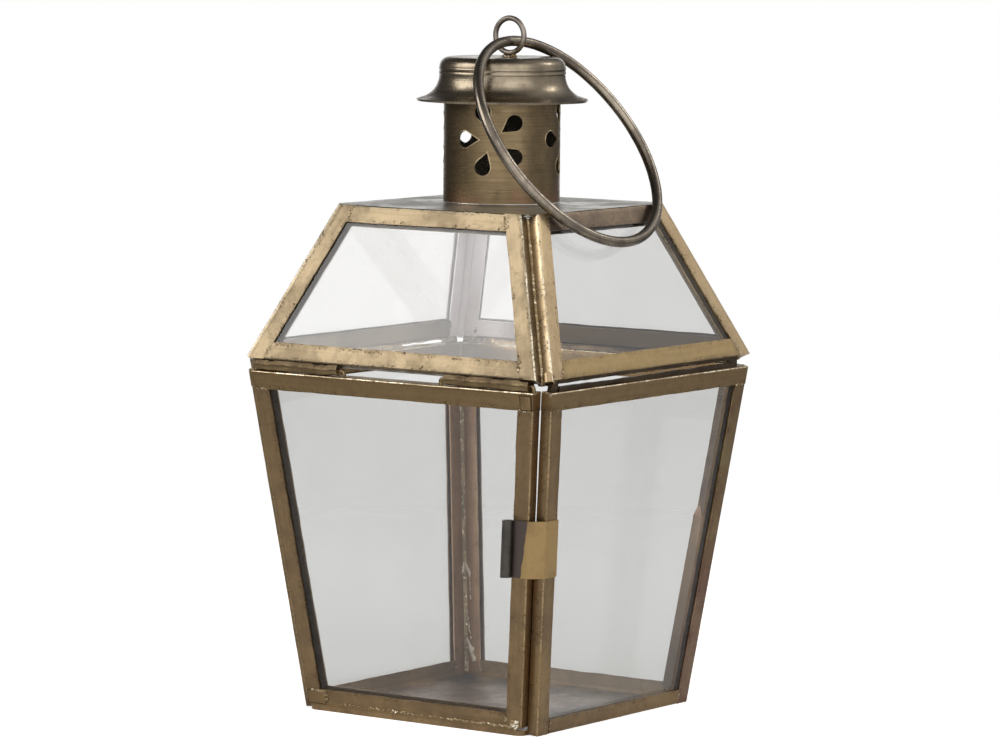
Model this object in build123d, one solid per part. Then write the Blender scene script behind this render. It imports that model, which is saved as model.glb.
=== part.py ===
from build123d import *
import os
from math import asin, atan2, cos, degrees, hypot, radians, sin, sqrt, tan

# Candle lantern of folded brass and flat glass, in millimetres. A four-sided glass case, wider at
# the top, carries a sloping glass roof, a pierced chimney with a flared cap and a ring to hang it by.
# The front pane is a door that hangs from two hinge tubes under the eave. A clasp on the right holds it.
# The origin is the middle of the foot, on the surface that it stands on. +Z is up, the door faces -Y.

# Glass case, across the outer faces of its panes
foot_width = 100.6
shoulder_width = 130.0
case_height = 120.2

# Glass roof, across the outer faces of its panes
eave_overhang = 0.4
crown_width = 85.2
roof_height = 53.5

# Came, the folded channel round each glass
came_face = 6.3
foot_face = 5.2
came_sheet = 0.5
glass_thickness = 3.0
glass_slack = 0.3
glass_edge_gap = 1.0

# Door, hinge and clasp
door_floor_gap = 0.95
door_side_gap = 0.4
hinge_tube_diameter = 3.0
hinge_tube_length = 35.5
hinge_inset = 2.4
hinge_wire_diameter = 1.4
hinge_running_gap = 0.05
hinge_wire_overhang = 2.0
hinge_leg_gap = 0.5
hinge_leg_margin = 0.2
hinge_bend_inside = 0.1
hinge_door_gap = 0.5
hinge_solder_reach = 1.4
clasp_bottom = 56.0
clasp_height = 20.0
clasp_sheet = 0.6
clasp_foot_margin = 0.3
clasp_lead = 0.6
clasp_overreach = 1.2
clasp_bend = 1.0
clasp_roll_diameter = 3.8
clasp_gap = 0.3

# Floor pan and crown plate
pan_height = 1.8
pan_sheet = 0.8
pan_setback = 0.3
pan_corner = 3.0
crown_sheet = 1.0
crown_corner = 4.0

# Chimney and its collar
chimney_diameter = 41.0
chimney_wall = 0.7
chimney_height = 36.8
chimney_ledge = 0.8
collar_width = 4.0
collar_height = 1.0
collar_round = 0.6

# Flowers of five drop-shaped holes round the chimney
flower_turns = (-65.0, 30.0, 194.0)
flower_drop = 13.5
petal_count = 5
petal_inner_reach = 4.7
petal_length = 8.3
petal_width = 5.7

# Cap with a flared brim
cap_height = 14.7
cap_side_gap = 0.9
cap_seat_gap = 0.05
cap_sheet = 0.8
cap_shoulder = 3.5
cap_flare_radius = 8.0
cap_flare_turn = 72.0
brim_overhang = 8.0
bead_radius = 0.35
bead_drops = (4.4, 6.0)

# Eyelet on the cap and the ring that hangs in it
eyelet_outer_diameter = 14.0
eyelet_wire = 1.9
eyelet_offset = 3.0
eyelet_solder_width = 6.8
eyelet_solder_top = 3.0
eyelet_solder_grip = 1.0
ring_radius = 42.0
ring_wire = 3.7
ring_drop = 1.9
ring_shift = 1.0
ring_gap = 0.3
ring_seat_step = 0.02

# Solder
bead_leg = 1.6
seam_margin = 0.8

# Where solder closes the eave, from -1 to 1 along each side
eave_seams = {
    "right": ((-0.99, -0.91), (0.86, 0.94)),
    "back": ((-0.94, 0.94),),
    "left": ((-0.94, -0.88), (-0.44, 0.94)),
}

SIDES = {"front": (0, -1), "right": (1, 0), "back": (0, 1), "left": (-1, 0)}
UP = Vector(0, 0, 1)

came_depth = glass_thickness + glass_slack + 2 * came_sheet
foot_half = foot_width / 2
shoulder_half = shoulder_width / 2
eave_half = shoulder_half + eave_overhang
crown_half = crown_width / 2
case_lean = atan2(shoulder_half - foot_half, case_height)
roof_lean = atan2(crown_half - eave_half, roof_height)
door_lift = pan_height + door_floor_gap

# The eave stands above the case by what the hinge tubes take up between its rails and the door
hinge_radius = hinge_tube_diameter / 2
lean_change = case_lean - roof_lean
hinge_stack = hinge_radius * (1 + cos(lean_change)) + hinge_inset * sin(lean_change) + hinge_door_gap
eave_gap = (hinge_stack - eave_overhang * sin(case_lean)) / cos(case_lean)
eave_level = case_height + eave_gap
crown_level = eave_level + roof_height
brim_level = crown_level + chimney_height
cap_level = brim_level + cap_height

parts = {}


class Pane:
    """A leaning glass and its came, drawn on its outer face: X along it, Y up the slope, Z outward.

    Neighbouring panes meet at their inner edges, which leaves a square notch outside each corner."""

    def __init__(self, side, low_reach, low_level, high_reach, high_level, side_gap=0.0):
        outward = Vector(*SIDES[side], 0)
        self.lean = atan2(high_reach - low_reach, high_level - low_level)
        self.length = hypot(high_reach - low_reach, high_level - low_level)
        self.low_half = low_reach - came_depth * cos(self.lean) - side_gap
        self.slope = outward * sin(self.lean) + UP * cos(self.lean)
        self.normal = outward * cos(self.lean) - UP * sin(self.lean)
        self.plane = Plane(
            origin=outward * low_reach + UP * low_level,
            x_dir=self.slope.cross(self.normal),
            z_dir=self.normal,
        )

    def half(self, y, inset=0.0):
        """Half the width at a place up the slope, less an inset square to the edge."""
        taper = sin(self.lean)
        return self.low_half + y * taper - inset * sqrt(1 + taper**2)

    def point(self, x, y, z):
        return self.plane.from_local_coords((x, y, z))

    def slab(self, corners, depth, thickness):
        """A flat piece between two depths below the outer face."""
        outline = self.plane.offset(-depth) * Polygon(*corners, align=None)
        return extrude(outline, amount=thickness, dir=-self.normal)

    def rail(self, low, high, inset, slot_low, slot_high):
        """A channel along the pane between two places up the slope, open towards the glass."""
        outline = [
            (-self.half(low, inset), low),
            (self.half(low, inset), low),
            (self.half(high, inset), high),
            (-self.half(high, inset), high),
        ]
        reach = 2 * self.half(low) + 2 * self.half(high)
        slot = [(-reach, slot_low), (reach, slot_low), (reach, slot_high), (-reach, slot_high)]
        return self.slab(outline, 0, came_depth) - self.slab(
            slot, came_sheet, came_depth - 2 * came_sheet
        )

    def stile(self, hand, low, high):
        """A channel up one side of the pane, +1 for the right hand and -1 for the left."""

        def band(outer, inner, start, end):
            return [
                (hand * self.half(start, inner), start),
                (hand * self.half(start, outer), start),
                (hand * self.half(end, outer), end),
                (hand * self.half(end, inner), end),
            ]

        outline = band(0, came_face, low, high)
        slot = band(came_sheet, 2 * came_face, low - came_face, high + came_face)
        return self.slab(outline, 0, came_depth) - self.slab(
            slot, came_sheet, came_depth - 2 * came_sheet
        )

    def glass(self):
        """The glass stands on the bottom rail's web, against the outer flanges."""
        inset = came_sheet + glass_edge_gap
        low = came_sheet
        high = self.length - inset
        corners = [
            (-self.half(low, inset), low),
            (self.half(low, inset), low),
            (self.half(high, inset), high),
            (-self.half(high, inset), high),
        ]
        return self.slab(corners, came_sheet, glass_thickness)

    def pieces(self, name, capped):
        """Glass and four channels. A capped pane's top rail covers the ends of its stiles."""
        top = self.length
        stile_top = top - came_face if capped else top
        low_face = foot_face if capped else came_face
        rail_inset = 0 if capped else came_face
        low_slot = (came_sheet, 2 * came_face)
        high_slot = (top - 2 * came_face, top - came_sheet)
        parts[name + "_glass"] = self.glass()
        parts[name + "_bottom_rail"] = self.rail(0, low_face, came_face, *low_slot)
        parts[name + "_top_rail"] = self.rail(top - came_face, top, rail_inset, *high_slot)
        parts[name + "_left_stile"] = self.stile(-1, 0, stile_top)
        parts[name + "_right_stile"] = self.stile(1, 0, stile_top)


def case_reach(level):
    """Distance from the middle to the case's outer faces at a level."""
    return foot_half + level * tan(case_lean)


# Panes of the case and of the roof
case = {
    side: Pane(side, foot_half, 0, shoulder_half, case_height)
    for side in ("right", "back", "left")
}
for side, pane in case.items():
    pane.pieces(side + "_pane", capped=True)
door = Pane("front", case_reach(door_lift), door_lift, shoulder_half, case_height, door_side_gap)
door.pieces("door", capped=True)

roof = {side: Pane(side, eave_half, eave_level, crown_half, crown_level) for side in SIDES}
for side, pane in roof.items():
    pane.pieces("roof_" + side, capped=False)


def corner_bead(pane, neighbour):
    """Solder fillet up the notch where a pane's right edge meets the next pane round."""
    foot = pane.point(pane.half(0), 0, -came_depth)
    head = pane.point(pane.half(pane.length), pane.length, -came_depth)
    run = head - foot
    section = make_face(
        Polyline(foot, foot + pane.normal * bead_leg, foot + neighbour.normal * bead_leg, close=True)
    )
    return extrude(section, amount=run.length, dir=run.normalized())


# Solder up the fixed corners and across the eave
parts["case_corner_solder"] = Compound(
    [
        corner_bead(case["right"], case["back"]).solid(),
        corner_bead(case["back"], case["left"]).solid(),
    ]
)
ring_of_sides = list(SIDES)
parts["roof_corner_solder"] = Compound(
    [
        corner_bead(roof[side], roof[ring_of_sides[(place + 1) % len(SIDES)]]).solid()
        for place, side in enumerate(ring_of_sides)
    ]
)

eave_lumps = []
for side, pane in case.items():
    above = roof[side]
    for seam_start, seam_end in eave_seams[side]:
        start = seam_start * pane.half(pane.length)
        section = make_face(
            Polyline(
                pane.point(start, pane.length, -seam_margin),
                pane.point(start, pane.length, seam_margin - came_depth),
                above.point(start, 0, seam_margin - came_depth),
                above.point(start, 0, -seam_margin),
                close=True,
            )
        )
        run = (seam_end - seam_start) * pane.half(pane.length)
        eave_lumps.append(extrude(section, amount=run, dir=pane.plane.x_dir).solid())
parts["eave_solder"] = Compound(eave_lumps)

# Floor pan between the fixed panes, brought forward under the door
pan_half = foot_half - came_depth / cos(case_lean)
pan_front = foot_half - pan_setback
pan_outline = Polygon(
    (-pan_half, -pan_front),
    (pan_half, -pan_front),
    (pan_half, pan_half),
    (-pan_half, pan_half),
    align=None,
)
pan_outline = fillet(pan_outline.vertices().group_by(Axis.Y)[0], pan_corner)
pan_hollow = Plane.XY.offset(pan_sheet) * offset(pan_outline, -pan_sheet, kind=Kind.INTERSECTION)
pan_flare = -degrees(case_lean)
parts["floor_pan"] = extrude(pan_outline, amount=pan_height, taper=pan_flare) - extrude(
    pan_hollow, amount=pan_height, taper=pan_flare
)

# Crown plate, bevelled to lie on the sloping top edges of the roof panes
tube_radius = chimney_diameter / 2
crown_bevel = crown_sheet / tan(-roof_lean)
crown_top = Plane.XY.offset(crown_level)
crown_bottom = Plane.XY.offset(crown_level - crown_sheet)
crown_hole = tube_radius - chimney_wall - chimney_ledge


def crown_outline(width):
    """A square with its corners cut off over the notches between the roof panes."""
    return chamfer(Rectangle(width, width).vertices(), crown_corner)


parts["crown_plate"] = loft(
    [crown_bottom * crown_outline(crown_width - 2 * crown_bevel), crown_top * crown_outline(crown_width)],
    ruled=True,
) - extrude(crown_bottom * Circle(crown_hole), amount=crown_sheet)

# Chimney tube up to the inside of the cap's shoulder, pierced with flowers
cap_radius = tube_radius + cap_side_gap + cap_sheet
shoulder_centre = Vector(cap_radius - cap_shoulder, cap_level - cap_shoulder)
seat_rise = sqrt((cap_shoulder - cap_sheet) ** 2 - (tube_radius - shoulder_centre.X) ** 2)
tube_height = shoulder_centre.Y + seat_rise - cap_seat_gap - crown_level
tube = extrude(
    crown_top * (Circle(tube_radius) - Circle(tube_radius - chimney_wall)), amount=tube_height
)
drop_radius = petal_width / 2
drop_reach = petal_length - drop_radius
drop_touch = drop_radius**2 / drop_reach
drop_shoulder = sqrt(drop_radius**2 - drop_touch**2)
drop = Circle(drop_radius) + Polygon(
    (-drop_reach, 0), (-drop_touch, -drop_shoulder), (-drop_touch, drop_shoulder), align=None
)
petal_reach = petal_inner_reach + drop_reach
petal_cut = tube_radius / 4
petals = []
for flower_turn in flower_turns:
    for petal in range(petal_count):
        aim = 180 + petal * 360 / petal_count
        along = petal_reach * cos(radians(aim))
        around = flower_turn + degrees(along / tube_radius)
        outward = Vector(cos(radians(around)), sin(radians(around)), 0)
        level = brim_level - flower_drop + petal_reach * sin(radians(aim))
        face = Plane(origin=outward * tube_radius + UP * level, x_dir=UP.cross(outward), z_dir=outward)
        petals.append(extrude(face * Rot(0, 0, aim) * drop, amount=petal_cut, both=True))
parts["chimney_tube"] = tube - petals

collar = extrude(
    crown_top * (Circle(tube_radius + collar_width) - Circle(tube_radius)), amount=collar_height
)
collar_rim = collar.edges().filter_by(GeomType.CIRCLE).group_by(Axis.Z)[-1].sort_by(SortBy.RADIUS)[-1]
parts["chimney_collar"] = fillet(collar_rim, collar_round)

# Cap, a spun shell: flat top, rounded shoulder, two beads, flare and brim
flare_turn = radians(cap_flare_turn)
flare_end = cap_radius + cap_flare_radius * (1 - cos(flare_turn))
brim_run = (cap_radius + brim_overhang - flare_end) / sin(flare_turn)
flare_level = brim_level + cap_flare_radius * sin(flare_turn) + brim_run * cos(flare_turn)
flare_centre = Vector(cap_radius + cap_flare_radius, flare_level)
brim_way = Vector(sin(flare_turn), -cos(flare_turn))
flare_way = Vector(-cos(flare_turn), -sin(flare_turn))


def cap_line(inset):
    """Half section of the cap from the axis to the brim, set in from the outer skin."""
    shoulder = cap_shoulder - inset
    flare = cap_flare_radius + inset
    top = cap_level - inset
    side = cap_radius - inset
    flare_foot = flare_centre + flare_way * flare
    brim_edge = flare_foot + brim_way * brim_run
    edges = [
        Line((0, top), (shoulder_centre.X, top)),
        CenterArc(shoulder_centre, shoulder, 0, 90),
        Line((side, shoulder_centre.Y), (side, flare_level)),
        CenterArc(flare_centre, flare, 180, cap_flare_turn),
        Line(flare_foot, brim_edge),
    ]
    return edges, brim_edge


outer_line, outer_edge = cap_line(0)
inner_line, inner_edge = cap_line(cap_sheet)
cap_section = make_face(
    outer_line
    + inner_line
    + [Line(outer_edge, inner_edge), Line((0, cap_level), (0, cap_level - cap_sheet))]
)
for bead_drop in bead_drops:
    cap_section += Pos(cap_radius, cap_level - bead_drop) * Circle(bead_radius)
parts["chimney_cap"] = revolve(Plane.XZ * cap_section, Axis.Z)

# The ring leans on the right edge of the crown plate and rests on the shoulder of the cap
swing_axis = Vector(0, 1, 0)
lean_way = Vector(1, 0, 0)
ring_clear = ring_wire / 2 + ring_gap


def ring_lean_from(pivot):
    """Angle from straight down at which the ring clears the crown plate's edge."""
    run = crown_half - pivot.X
    drop = pivot.Z - crown_level
    return atan2(run, drop) + asin(ring_clear / hypot(run, drop))


def hang_way_at(lean):
    return lean_way * sin(lean) - UP * cos(lean)


def least_room(pivot):
    """Least distance from the leaning ring's middle line to the cap, looked for every degree."""
    hang_way = hang_way_at(ring_lean_from(pivot))
    rooms = []
    for turn in range(0, 91):
        around = radians(turn)
        spot = pivot + (hang_way * (1 - cos(around)) + swing_axis * sin(around)) * ring_radius
        reach = hypot(spot.X, spot.Y) - shoulder_centre.X
        rise = spot.Z - shoulder_centre.Y
        rooms.append((rise if reach < 0 else hypot(reach, rise)) - cap_shoulder)
    return min(rooms)


ring_pivot = lean_way * (eyelet_offset + ring_shift) + UP * cap_level
while least_room(ring_pivot) < ring_clear:
    ring_pivot += UP * ring_seat_step
ring_lean = ring_lean_from(ring_pivot)
hang_way = hang_way_at(ring_lean)
parts["handle_ring"] = Plane(
    origin=ring_pivot + hang_way * ring_radius, x_dir=swing_axis, z_dir=hang_way.cross(swing_axis)
) * Torus(ring_radius, ring_wire / 2)

# Eyelet round the ring's wire, soldered on the cap
eyelet_radius = (eyelet_outer_diameter - eyelet_wire) / 2
eyelet_centre = ring_pivot - lean_way * ring_shift + UP * ring_drop
eyelet_lift = eyelet_centre.Z - eyelet_outer_diameter / 2 - cap_level
eyelet = Plane(origin=eyelet_centre, z_dir=swing_axis) * Torus(eyelet_radius, eyelet_wire / 2)
parts["cap_eyelet"] = eyelet
eyelet_mound = Cone(
    eyelet_solder_width / 2,
    eyelet_solder_top / 2,
    eyelet_lift + eyelet_solder_grip,
    align=(Align.CENTER, Align.CENTER, Align.MIN),
)
parts["eyelet_solder"] = Pos(lean_way * eyelet_offset + UP * cap_level) * eyelet_mound - eyelet

# Hinge tubes under the front eave, with staple wires that carry the door
eave_pane = roof["front"]
hinge_axis = eave_pane.point(0, -hinge_radius, -hinge_inset)
outer_leg = door.half(door.length) - hinge_leg_margin - hinge_wire_diameter / 2
tube_end = outer_leg - hinge_wire_diameter / 2 - hinge_leg_gap
tube_start = tube_end - hinge_tube_length
inner_leg = tube_start - hinge_wire_overhang
hinge_face = Plane(origin=hinge_axis, x_dir=-eave_pane.normal, z_dir=(1, 0, 0))
hinge_bore = hinge_wire_diameter / 2 + hinge_running_gap
hinge_section = (
    Circle(hinge_radius)
    + Polygon(
        (-hinge_solder_reach, hinge_radius),
        (-hinge_radius, 0),
        (hinge_radius, 0),
        (hinge_solder_reach, hinge_radius),
        align=None,
    )
    - Circle(hinge_bore)
)
leg_length = door.plane.to_local_coords(hinge_axis).Y - door.length
wire_face = Plane(
    origin=hinge_axis, x_dir=(1, 0, 0), z_dir=Vector(1, 0, 0).cross(door.slope)
)
for name, hand in (("left", -1), ("right", 1)):
    tube_face = hinge_face.offset(min(hand * tube_start, hand * tube_end))
    parts["hinge_tube_" + name] = extrude(tube_face * hinge_section, amount=hinge_tube_length)
    route = wire_face * FilletPolyline(
        (hand * inner_leg, -leg_length),
        (hand * inner_leg, 0),
        (hand * outer_leg, 0),
        (hand * outer_leg, -leg_length),
        radius=hinge_wire_diameter / 2 + hinge_bend_inside,
    )
    wire_end = Plane(origin=route @ 0, z_dir=route % 0) * Circle(hinge_wire_diameter / 2)
    parts["hinge_wire_" + name] = sweep(wire_end, route)

# Clasp: a bent strip from the right pane's front stile, across the notch and over the door's stile
notch = came_depth * cos(case_lean)
clasp_foot_end = notch + came_face - clasp_foot_margin
clasp_reach = notch + came_face + clasp_overreach
clasp_corner = Vector(case_reach(clasp_bottom), -case_reach(clasp_bottom), clasp_bottom)
corner_way = Vector(tan(case_lean), -tan(case_lean), 1).normalized()
clasp_inside = FilletPolyline(
    (0, clasp_foot_end),
    (0, notch - clasp_lead),
    (-notch, -clasp_gap),
    (-clasp_reach, -clasp_gap),
    radius=clasp_bend,
)
roll_radius = clasp_roll_diameter / 2
roll_centre = Pos(-clasp_reach, -clasp_gap - roll_radius)
clasp_section = make_face(offset(clasp_inside, clasp_sheet, side=Side.LEFT)) + roll_centre * (
    Circle(roll_radius) - Circle(roll_radius - clasp_sheet)
)
parts["door_clasp"] = extrude(
    Pos(clasp_corner) * clasp_section, amount=clasp_height / corner_way.Z, dir=corner_way
)

os.makedirs("parts", exist_ok=True)
for name, shape in parts.items():
    export_step(shape, os.path.join("parts", name + ".step"))
    print(name, round(shape.volume, 2))

print("door hinge axis", tuple(hinge_axis))
print("clasp hinge point", tuple(clasp_corner + Vector(0, clasp_foot_end, 0)), tuple(corner_way))
print("ring pivot", tuple(ring_pivot), "lean", degrees(ring_lean))
print("floor", pan_sheet, "pan half", pan_half, "crown", crown_level, "cap", cap_level)
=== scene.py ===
import math
from itertools import product

import bmesh
import bpy
from mathutils import Matrix, Vector, noise


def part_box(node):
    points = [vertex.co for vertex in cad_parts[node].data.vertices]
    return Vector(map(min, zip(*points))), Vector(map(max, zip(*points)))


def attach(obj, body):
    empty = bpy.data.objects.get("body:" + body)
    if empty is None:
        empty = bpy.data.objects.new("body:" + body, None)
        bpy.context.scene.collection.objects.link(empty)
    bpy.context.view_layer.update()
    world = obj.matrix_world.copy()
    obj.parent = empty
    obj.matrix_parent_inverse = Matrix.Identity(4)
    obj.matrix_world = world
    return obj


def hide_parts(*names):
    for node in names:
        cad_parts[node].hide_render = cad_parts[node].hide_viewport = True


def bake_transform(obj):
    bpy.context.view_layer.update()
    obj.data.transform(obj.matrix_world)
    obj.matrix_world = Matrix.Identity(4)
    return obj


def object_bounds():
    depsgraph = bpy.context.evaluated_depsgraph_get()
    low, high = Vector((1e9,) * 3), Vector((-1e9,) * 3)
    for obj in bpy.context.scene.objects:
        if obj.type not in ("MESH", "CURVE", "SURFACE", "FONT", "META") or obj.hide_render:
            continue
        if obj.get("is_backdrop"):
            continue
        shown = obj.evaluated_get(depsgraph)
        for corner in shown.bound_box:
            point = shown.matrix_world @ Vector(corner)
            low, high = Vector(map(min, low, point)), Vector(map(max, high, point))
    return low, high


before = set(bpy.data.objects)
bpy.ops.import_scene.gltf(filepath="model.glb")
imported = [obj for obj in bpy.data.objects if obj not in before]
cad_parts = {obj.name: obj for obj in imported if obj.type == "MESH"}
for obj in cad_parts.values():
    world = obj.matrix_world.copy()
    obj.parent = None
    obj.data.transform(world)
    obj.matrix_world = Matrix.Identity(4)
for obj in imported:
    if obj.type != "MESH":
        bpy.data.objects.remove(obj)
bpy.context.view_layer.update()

# Floor pan: a shallow brass tray, bent up at its edges and soldered between the fixed panes.
# Its inside has gone a dull purple grey, with smudges, and has a painted shade along the right and the
# back.
MM = 0.001


def add_node(tree, kind, settings=None, sockets=None):
    """A shader node with its settings, and its sockets given a value or a link."""
    made = tree.nodes.new("ShaderNode" + kind)
    for key, value in (settings or {}).items():
        setattr(made, key, value)
    for key, value in (sockets or {}).items():
        if isinstance(value, bpy.types.NodeSocket):
            tree.links.new(value, made.inputs[key])
        else:
            made.inputs[key].default_value = value
    return made


def grain(tree, place, scale, detail=3.0, rough=0.55):
    """Cloudy noise from 0 to 1 at so many marks a metre."""
    sockets = {"Vector": place, "Scale": scale, "Detail": detail, "Roughness": rough}
    return add_node(tree, "TexNoise", None, sockets).outputs["Fac"]


def spread(tree, value, low, high, start=0.0, end=1.0):
    """The value between low and high eased out to start and end."""
    sockets = {"Value": value, "From Min": low, "From Max": high, "To Min": start, "To Max": end}
    return add_node(tree, "MapRange", {"interpolation_type": "SMOOTHSTEP"}, sockets).outputs[0]


def sum_up(tree, operation, first, second):
    """Two values or sockets put together by arithmetic, kept between 0 and 1."""
    settings = {"operation": operation, "use_clamp": True}
    return add_node(tree, "Math", settings, {0: first, 1: second}).outputs[0]


def times(tree, first, second):
    """One value or socket multiplied by another."""
    return sum_up(tree, "MULTIPLY", first, second)


def plus(tree, first, second):
    """Two values or sockets added."""
    return sum_up(tree, "ADD", first, second)


def less(tree, first, second):
    """The first value or socket less the second."""
    return sum_up(tree, "SUBTRACT", first, second)


def larger(tree, first, second):
    """The larger of two values or sockets."""
    return sum_up(tree, "MAXIMUM", first, second)


def tint(tree, amount, under, over, way="MIX"):
    """One colour laid over another."""
    sockets = {"Fac": amount, "Color1": under, "Color2": over}
    return add_node(tree, "MixRGB", {"blend_type": way}, sockets).outputs["Color"]


def start_group(name, inputs, outputs):
    """An empty node group with named sockets, and its input and output nodes."""
    tree = bpy.data.node_groups.new(name, "ShaderNodeTree")
    for socket, kind in inputs:
        tree.interface.new_socket(socket, in_out="INPUT", socket_type="NodeSocket" + kind)
    for socket, kind in outputs:
        tree.interface.new_socket(socket, in_out="OUTPUT", socket_type="NodeSocket" + kind)
    return tree, tree.nodes.new("NodeGroupInput").outputs, tree.nodes.new("NodeGroupOutput").inputs


# Tarnish: cloudy dark bloom over clean brass, with fine black pits.
tarnish, given, wanted = start_group(
    "tarnish",
    [("Place", "Vector"), ("Clean", "Color"), ("Dull", "Color"), ("Pit", "Color"),
     ("Cover", "Float"), ("Pitting", "Float"), ("Size", "Float")],
    [("Color", "Color"), ("Roughness", "Float"), ("Height", "Float")],
)
sized = add_node(
    tarnish, "VectorMath", {"operation": "SCALE"}, {"Vector": given["Place"], "Scale": given["Size"]}
).outputs[0]
cloud = grain(tarnish, sized, 55.0, 4.0, 0.6)
bloom = grain(tarnish, sized, 260.0, 5.0, 0.65)
dust = grain(tarnish, sized, 1500.0, 3.0, 0.6)
mottle = plus(tarnish, times(tarnish, cloud, 0.7), times(tarnish, bloom, 0.3))
brink = less(tarnish, 0.68, times(tarnish, given["Cover"], 0.36))
dull = spread(tarnish, less(tarnish, mottle, less(tarnish, brink, 0.12)), 0.0, 0.24)
pit_line = less(tarnish, 0.71, times(tarnish, given["Pitting"], 0.2))
pit = spread(tarnish, less(tarnish, dust, pit_line), 0.0, 0.04)
pit = times(tarnish, pit, spread(tarnish, bloom, 0.46, 0.56))
colour = tint(tarnish, dull, given["Clean"], given["Dull"])
colour = tint(tarnish, times(tarnish, pit, 0.85), colour, given["Pit"])
tarnish.links.new(colour, wanted["Color"])
rough = plus(tarnish, spread(tarnish, dull, 0.0, 1.0, 0.3, 0.42), times(tarnish, pit, 0.25))
rough = plus(tarnish, rough, spread(tarnish, dust, 0.3, 0.7, 0.0, 0.06))
tarnish.links.new(rough, wanted["Roughness"])
lift = less(tarnish, spread(tarnish, bloom, 0.2, 0.8), times(tarnish, pit, 0.8))
tarnish.links.new(lift, wanted["Height"])


def use_group(tree, group, sockets):
    """A node group placed in a material with its own values."""
    return add_node(tree, "Group", {"node_tree": group}, sockets).outputs


def start_finish(name):
    """A new material with a Principled shader, its node tree and its Object coordinates."""
    material = bpy.data.materials.new(name)
    material.use_nodes = True
    tree = material.node_tree
    shader = tree.nodes["Principled BSDF"]
    place = tree.nodes.new("ShaderNodeTexCoord").outputs["Object"]
    return material, tree, shader, place


def place_of(tree):
    """The Object coordinates that a material's node tree already holds."""
    return tree.nodes["Texture Coordinate"].outputs["Object"]


def measures(tree, place):
    """The X, Y and Z of a place, as sockets."""
    return add_node(tree, "SeparateXYZ", None, {"Vector": place}).outputs


def raise_marks(tree, shader, height, depth):
    """The height pattern as bumps of that depth on the surface."""
    sockets = {"Height": height, "Distance": depth, "Strength": 1.0}
    tree.links.new(add_node(tree, "Bump", None, sockets).outputs["Normal"], shader.inputs["Normal"])


sheet_bump = 0.02 * MM


def start_brass(name, clean, dull, pit, cover, pitting, size=1.0, metal=1.0):
    """A new tarnished metal: its material, its node tree, its shader and what the tarnish puts out."""
    material, tree, shader, place = start_finish(name)
    shader.inputs["Metallic"].default_value = metal
    aged = use_group(tree, tarnish, {
        "Place": place, "Clean": clean, "Dull": dull, "Pit": pit,
        "Cover": cover, "Pitting": pitting, "Size": size,
    })
    tree.links.new(aged["Color"], shader.inputs["Base Color"])
    tree.links.new(aged["Roughness"], shader.inputs["Roughness"])
    return material, tree, shader, aged


def plain_brass(name, clean, dull, pit, cover, pitting, size=1.0, bump=sheet_bump, metal=1.0):
    """Tarnished sheet metal with nothing else on it."""
    material, tree, shader, aged = start_brass(name, clean, dull, pit, cover, pitting, size, metal)
    raise_marks(tree, shader, aged["Height"], bump)
    return material


def finish_node(node, material):
    """A CAD node keeps its shape and takes a better finish."""
    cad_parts[node].data.materials.clear()
    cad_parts[node].data.materials.append(material)


def finish_piece(bm, name, materials, body, sharp=40.0):
    """A finished mesh as an object at the origin that moves with its body."""
    for face in bm.faces:
        face.smooth = True
    mesh = bpy.data.meshes.new(name)
    bm.to_mesh(mesh)
    bm.free()
    mesh.set_sharp_from_angle(angle=math.radians(sharp))
    for material in materials:
        mesh.materials.append(material)
    piece = bpy.data.objects.new(name, mesh)
    bpy.context.scene.collection.objects.link(piece)
    if body:
        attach(piece, body)
    return piece


pan_low, pan_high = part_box("floor_pan")
pan_sheet = 0.8 * MM
pan_corner = 3.0 * MM
pan_flare = 0.196 * MM
pan_shade_shift = 8 * MM
pan_shade_start = 27 * MM
pan_shade_end = 42 * MM
pan_shade_wander = 3 * MM
pan_dull, tree, shader, aged = start_brass(
    "pan_dull", (0.32, 0.24, 0.195, 1), (0.205, 0.155, 0.135, 1), (0.06, 0.045, 0.04, 1),
    cover=0.55, pitting=0.4,
)
raise_marks(tree, shader, aged["Height"], sheet_bump)
place = place_of(tree)
spot = measures(tree, place)
# Painted shade: the pan's inside darkens toward its right and back edges.
off_middle = larger(tree, plus(tree, spot["X"], pan_shade_shift), plus(tree, spot["Y"], pan_shade_shift))
ragged = spread(tree, grain(tree, place, 90.0, 3.0, 0.6), 0.3, 0.7, -pan_shade_wander, pan_shade_wander)
shadowed = spread(tree, plus(tree, off_middle, ragged), pan_shade_start, pan_shade_end, 0.0, 0.92)
tree.links.new(tint(tree, shadowed, aged["Color"], (0.055, 0.05, 0.055, 1)), shader.inputs["Base Color"])
pan_edge = plain_brass(
    "pan_edge", (0.40, 0.28, 0.15, 1), (0.26, 0.18, 0.10, 1), (0.05, 0.033, 0.02, 1),
    cover=0.5, pitting=0.4,
)
bm = bmesh.new()
rim = [
    bm.verts.new((x * (pan_high.x - pan_flare), y, pan_low.z))
    for x, y in (
        (-1, pan_low.y + pan_flare), (1, pan_low.y + pan_flare),
        (1, pan_high.y - pan_flare), (-1, pan_high.y - pan_flare),
    )
]
bm.faces.new(rim)
bmesh.ops.bevel(
    bm, geom=rim[:2], offset=pan_corner, offset_type="OFFSET", segments=6, profile=0.5,
    affect="VERTICES", material=-1,
)
bmesh.ops.extrude_edge_only(bm, edges=bm.edges[:])
raised = [vert for vert in bm.verts if len(vert.link_faces) == 2]
bmesh.ops.translate(bm, vec=(0, 0, pan_high.z - pan_low.z), verts=raised)
for vert in raised:
    vert.co.x += math.copysign(pan_flare, vert.co.x)
    vert.co.y += math.copysign(pan_flare, vert.co.y)
bmesh.ops.recalc_face_normals(bm, faces=bm.faces)
if max(bm.faces, key=lambda face: face.calc_area()).normal.z > 0:
    bmesh.ops.reverse_faces(bm, faces=bm.faces)
for face in bm.faces:
    if abs(face.normal.z) < 0.5:
        face.material_index = 1
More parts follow.
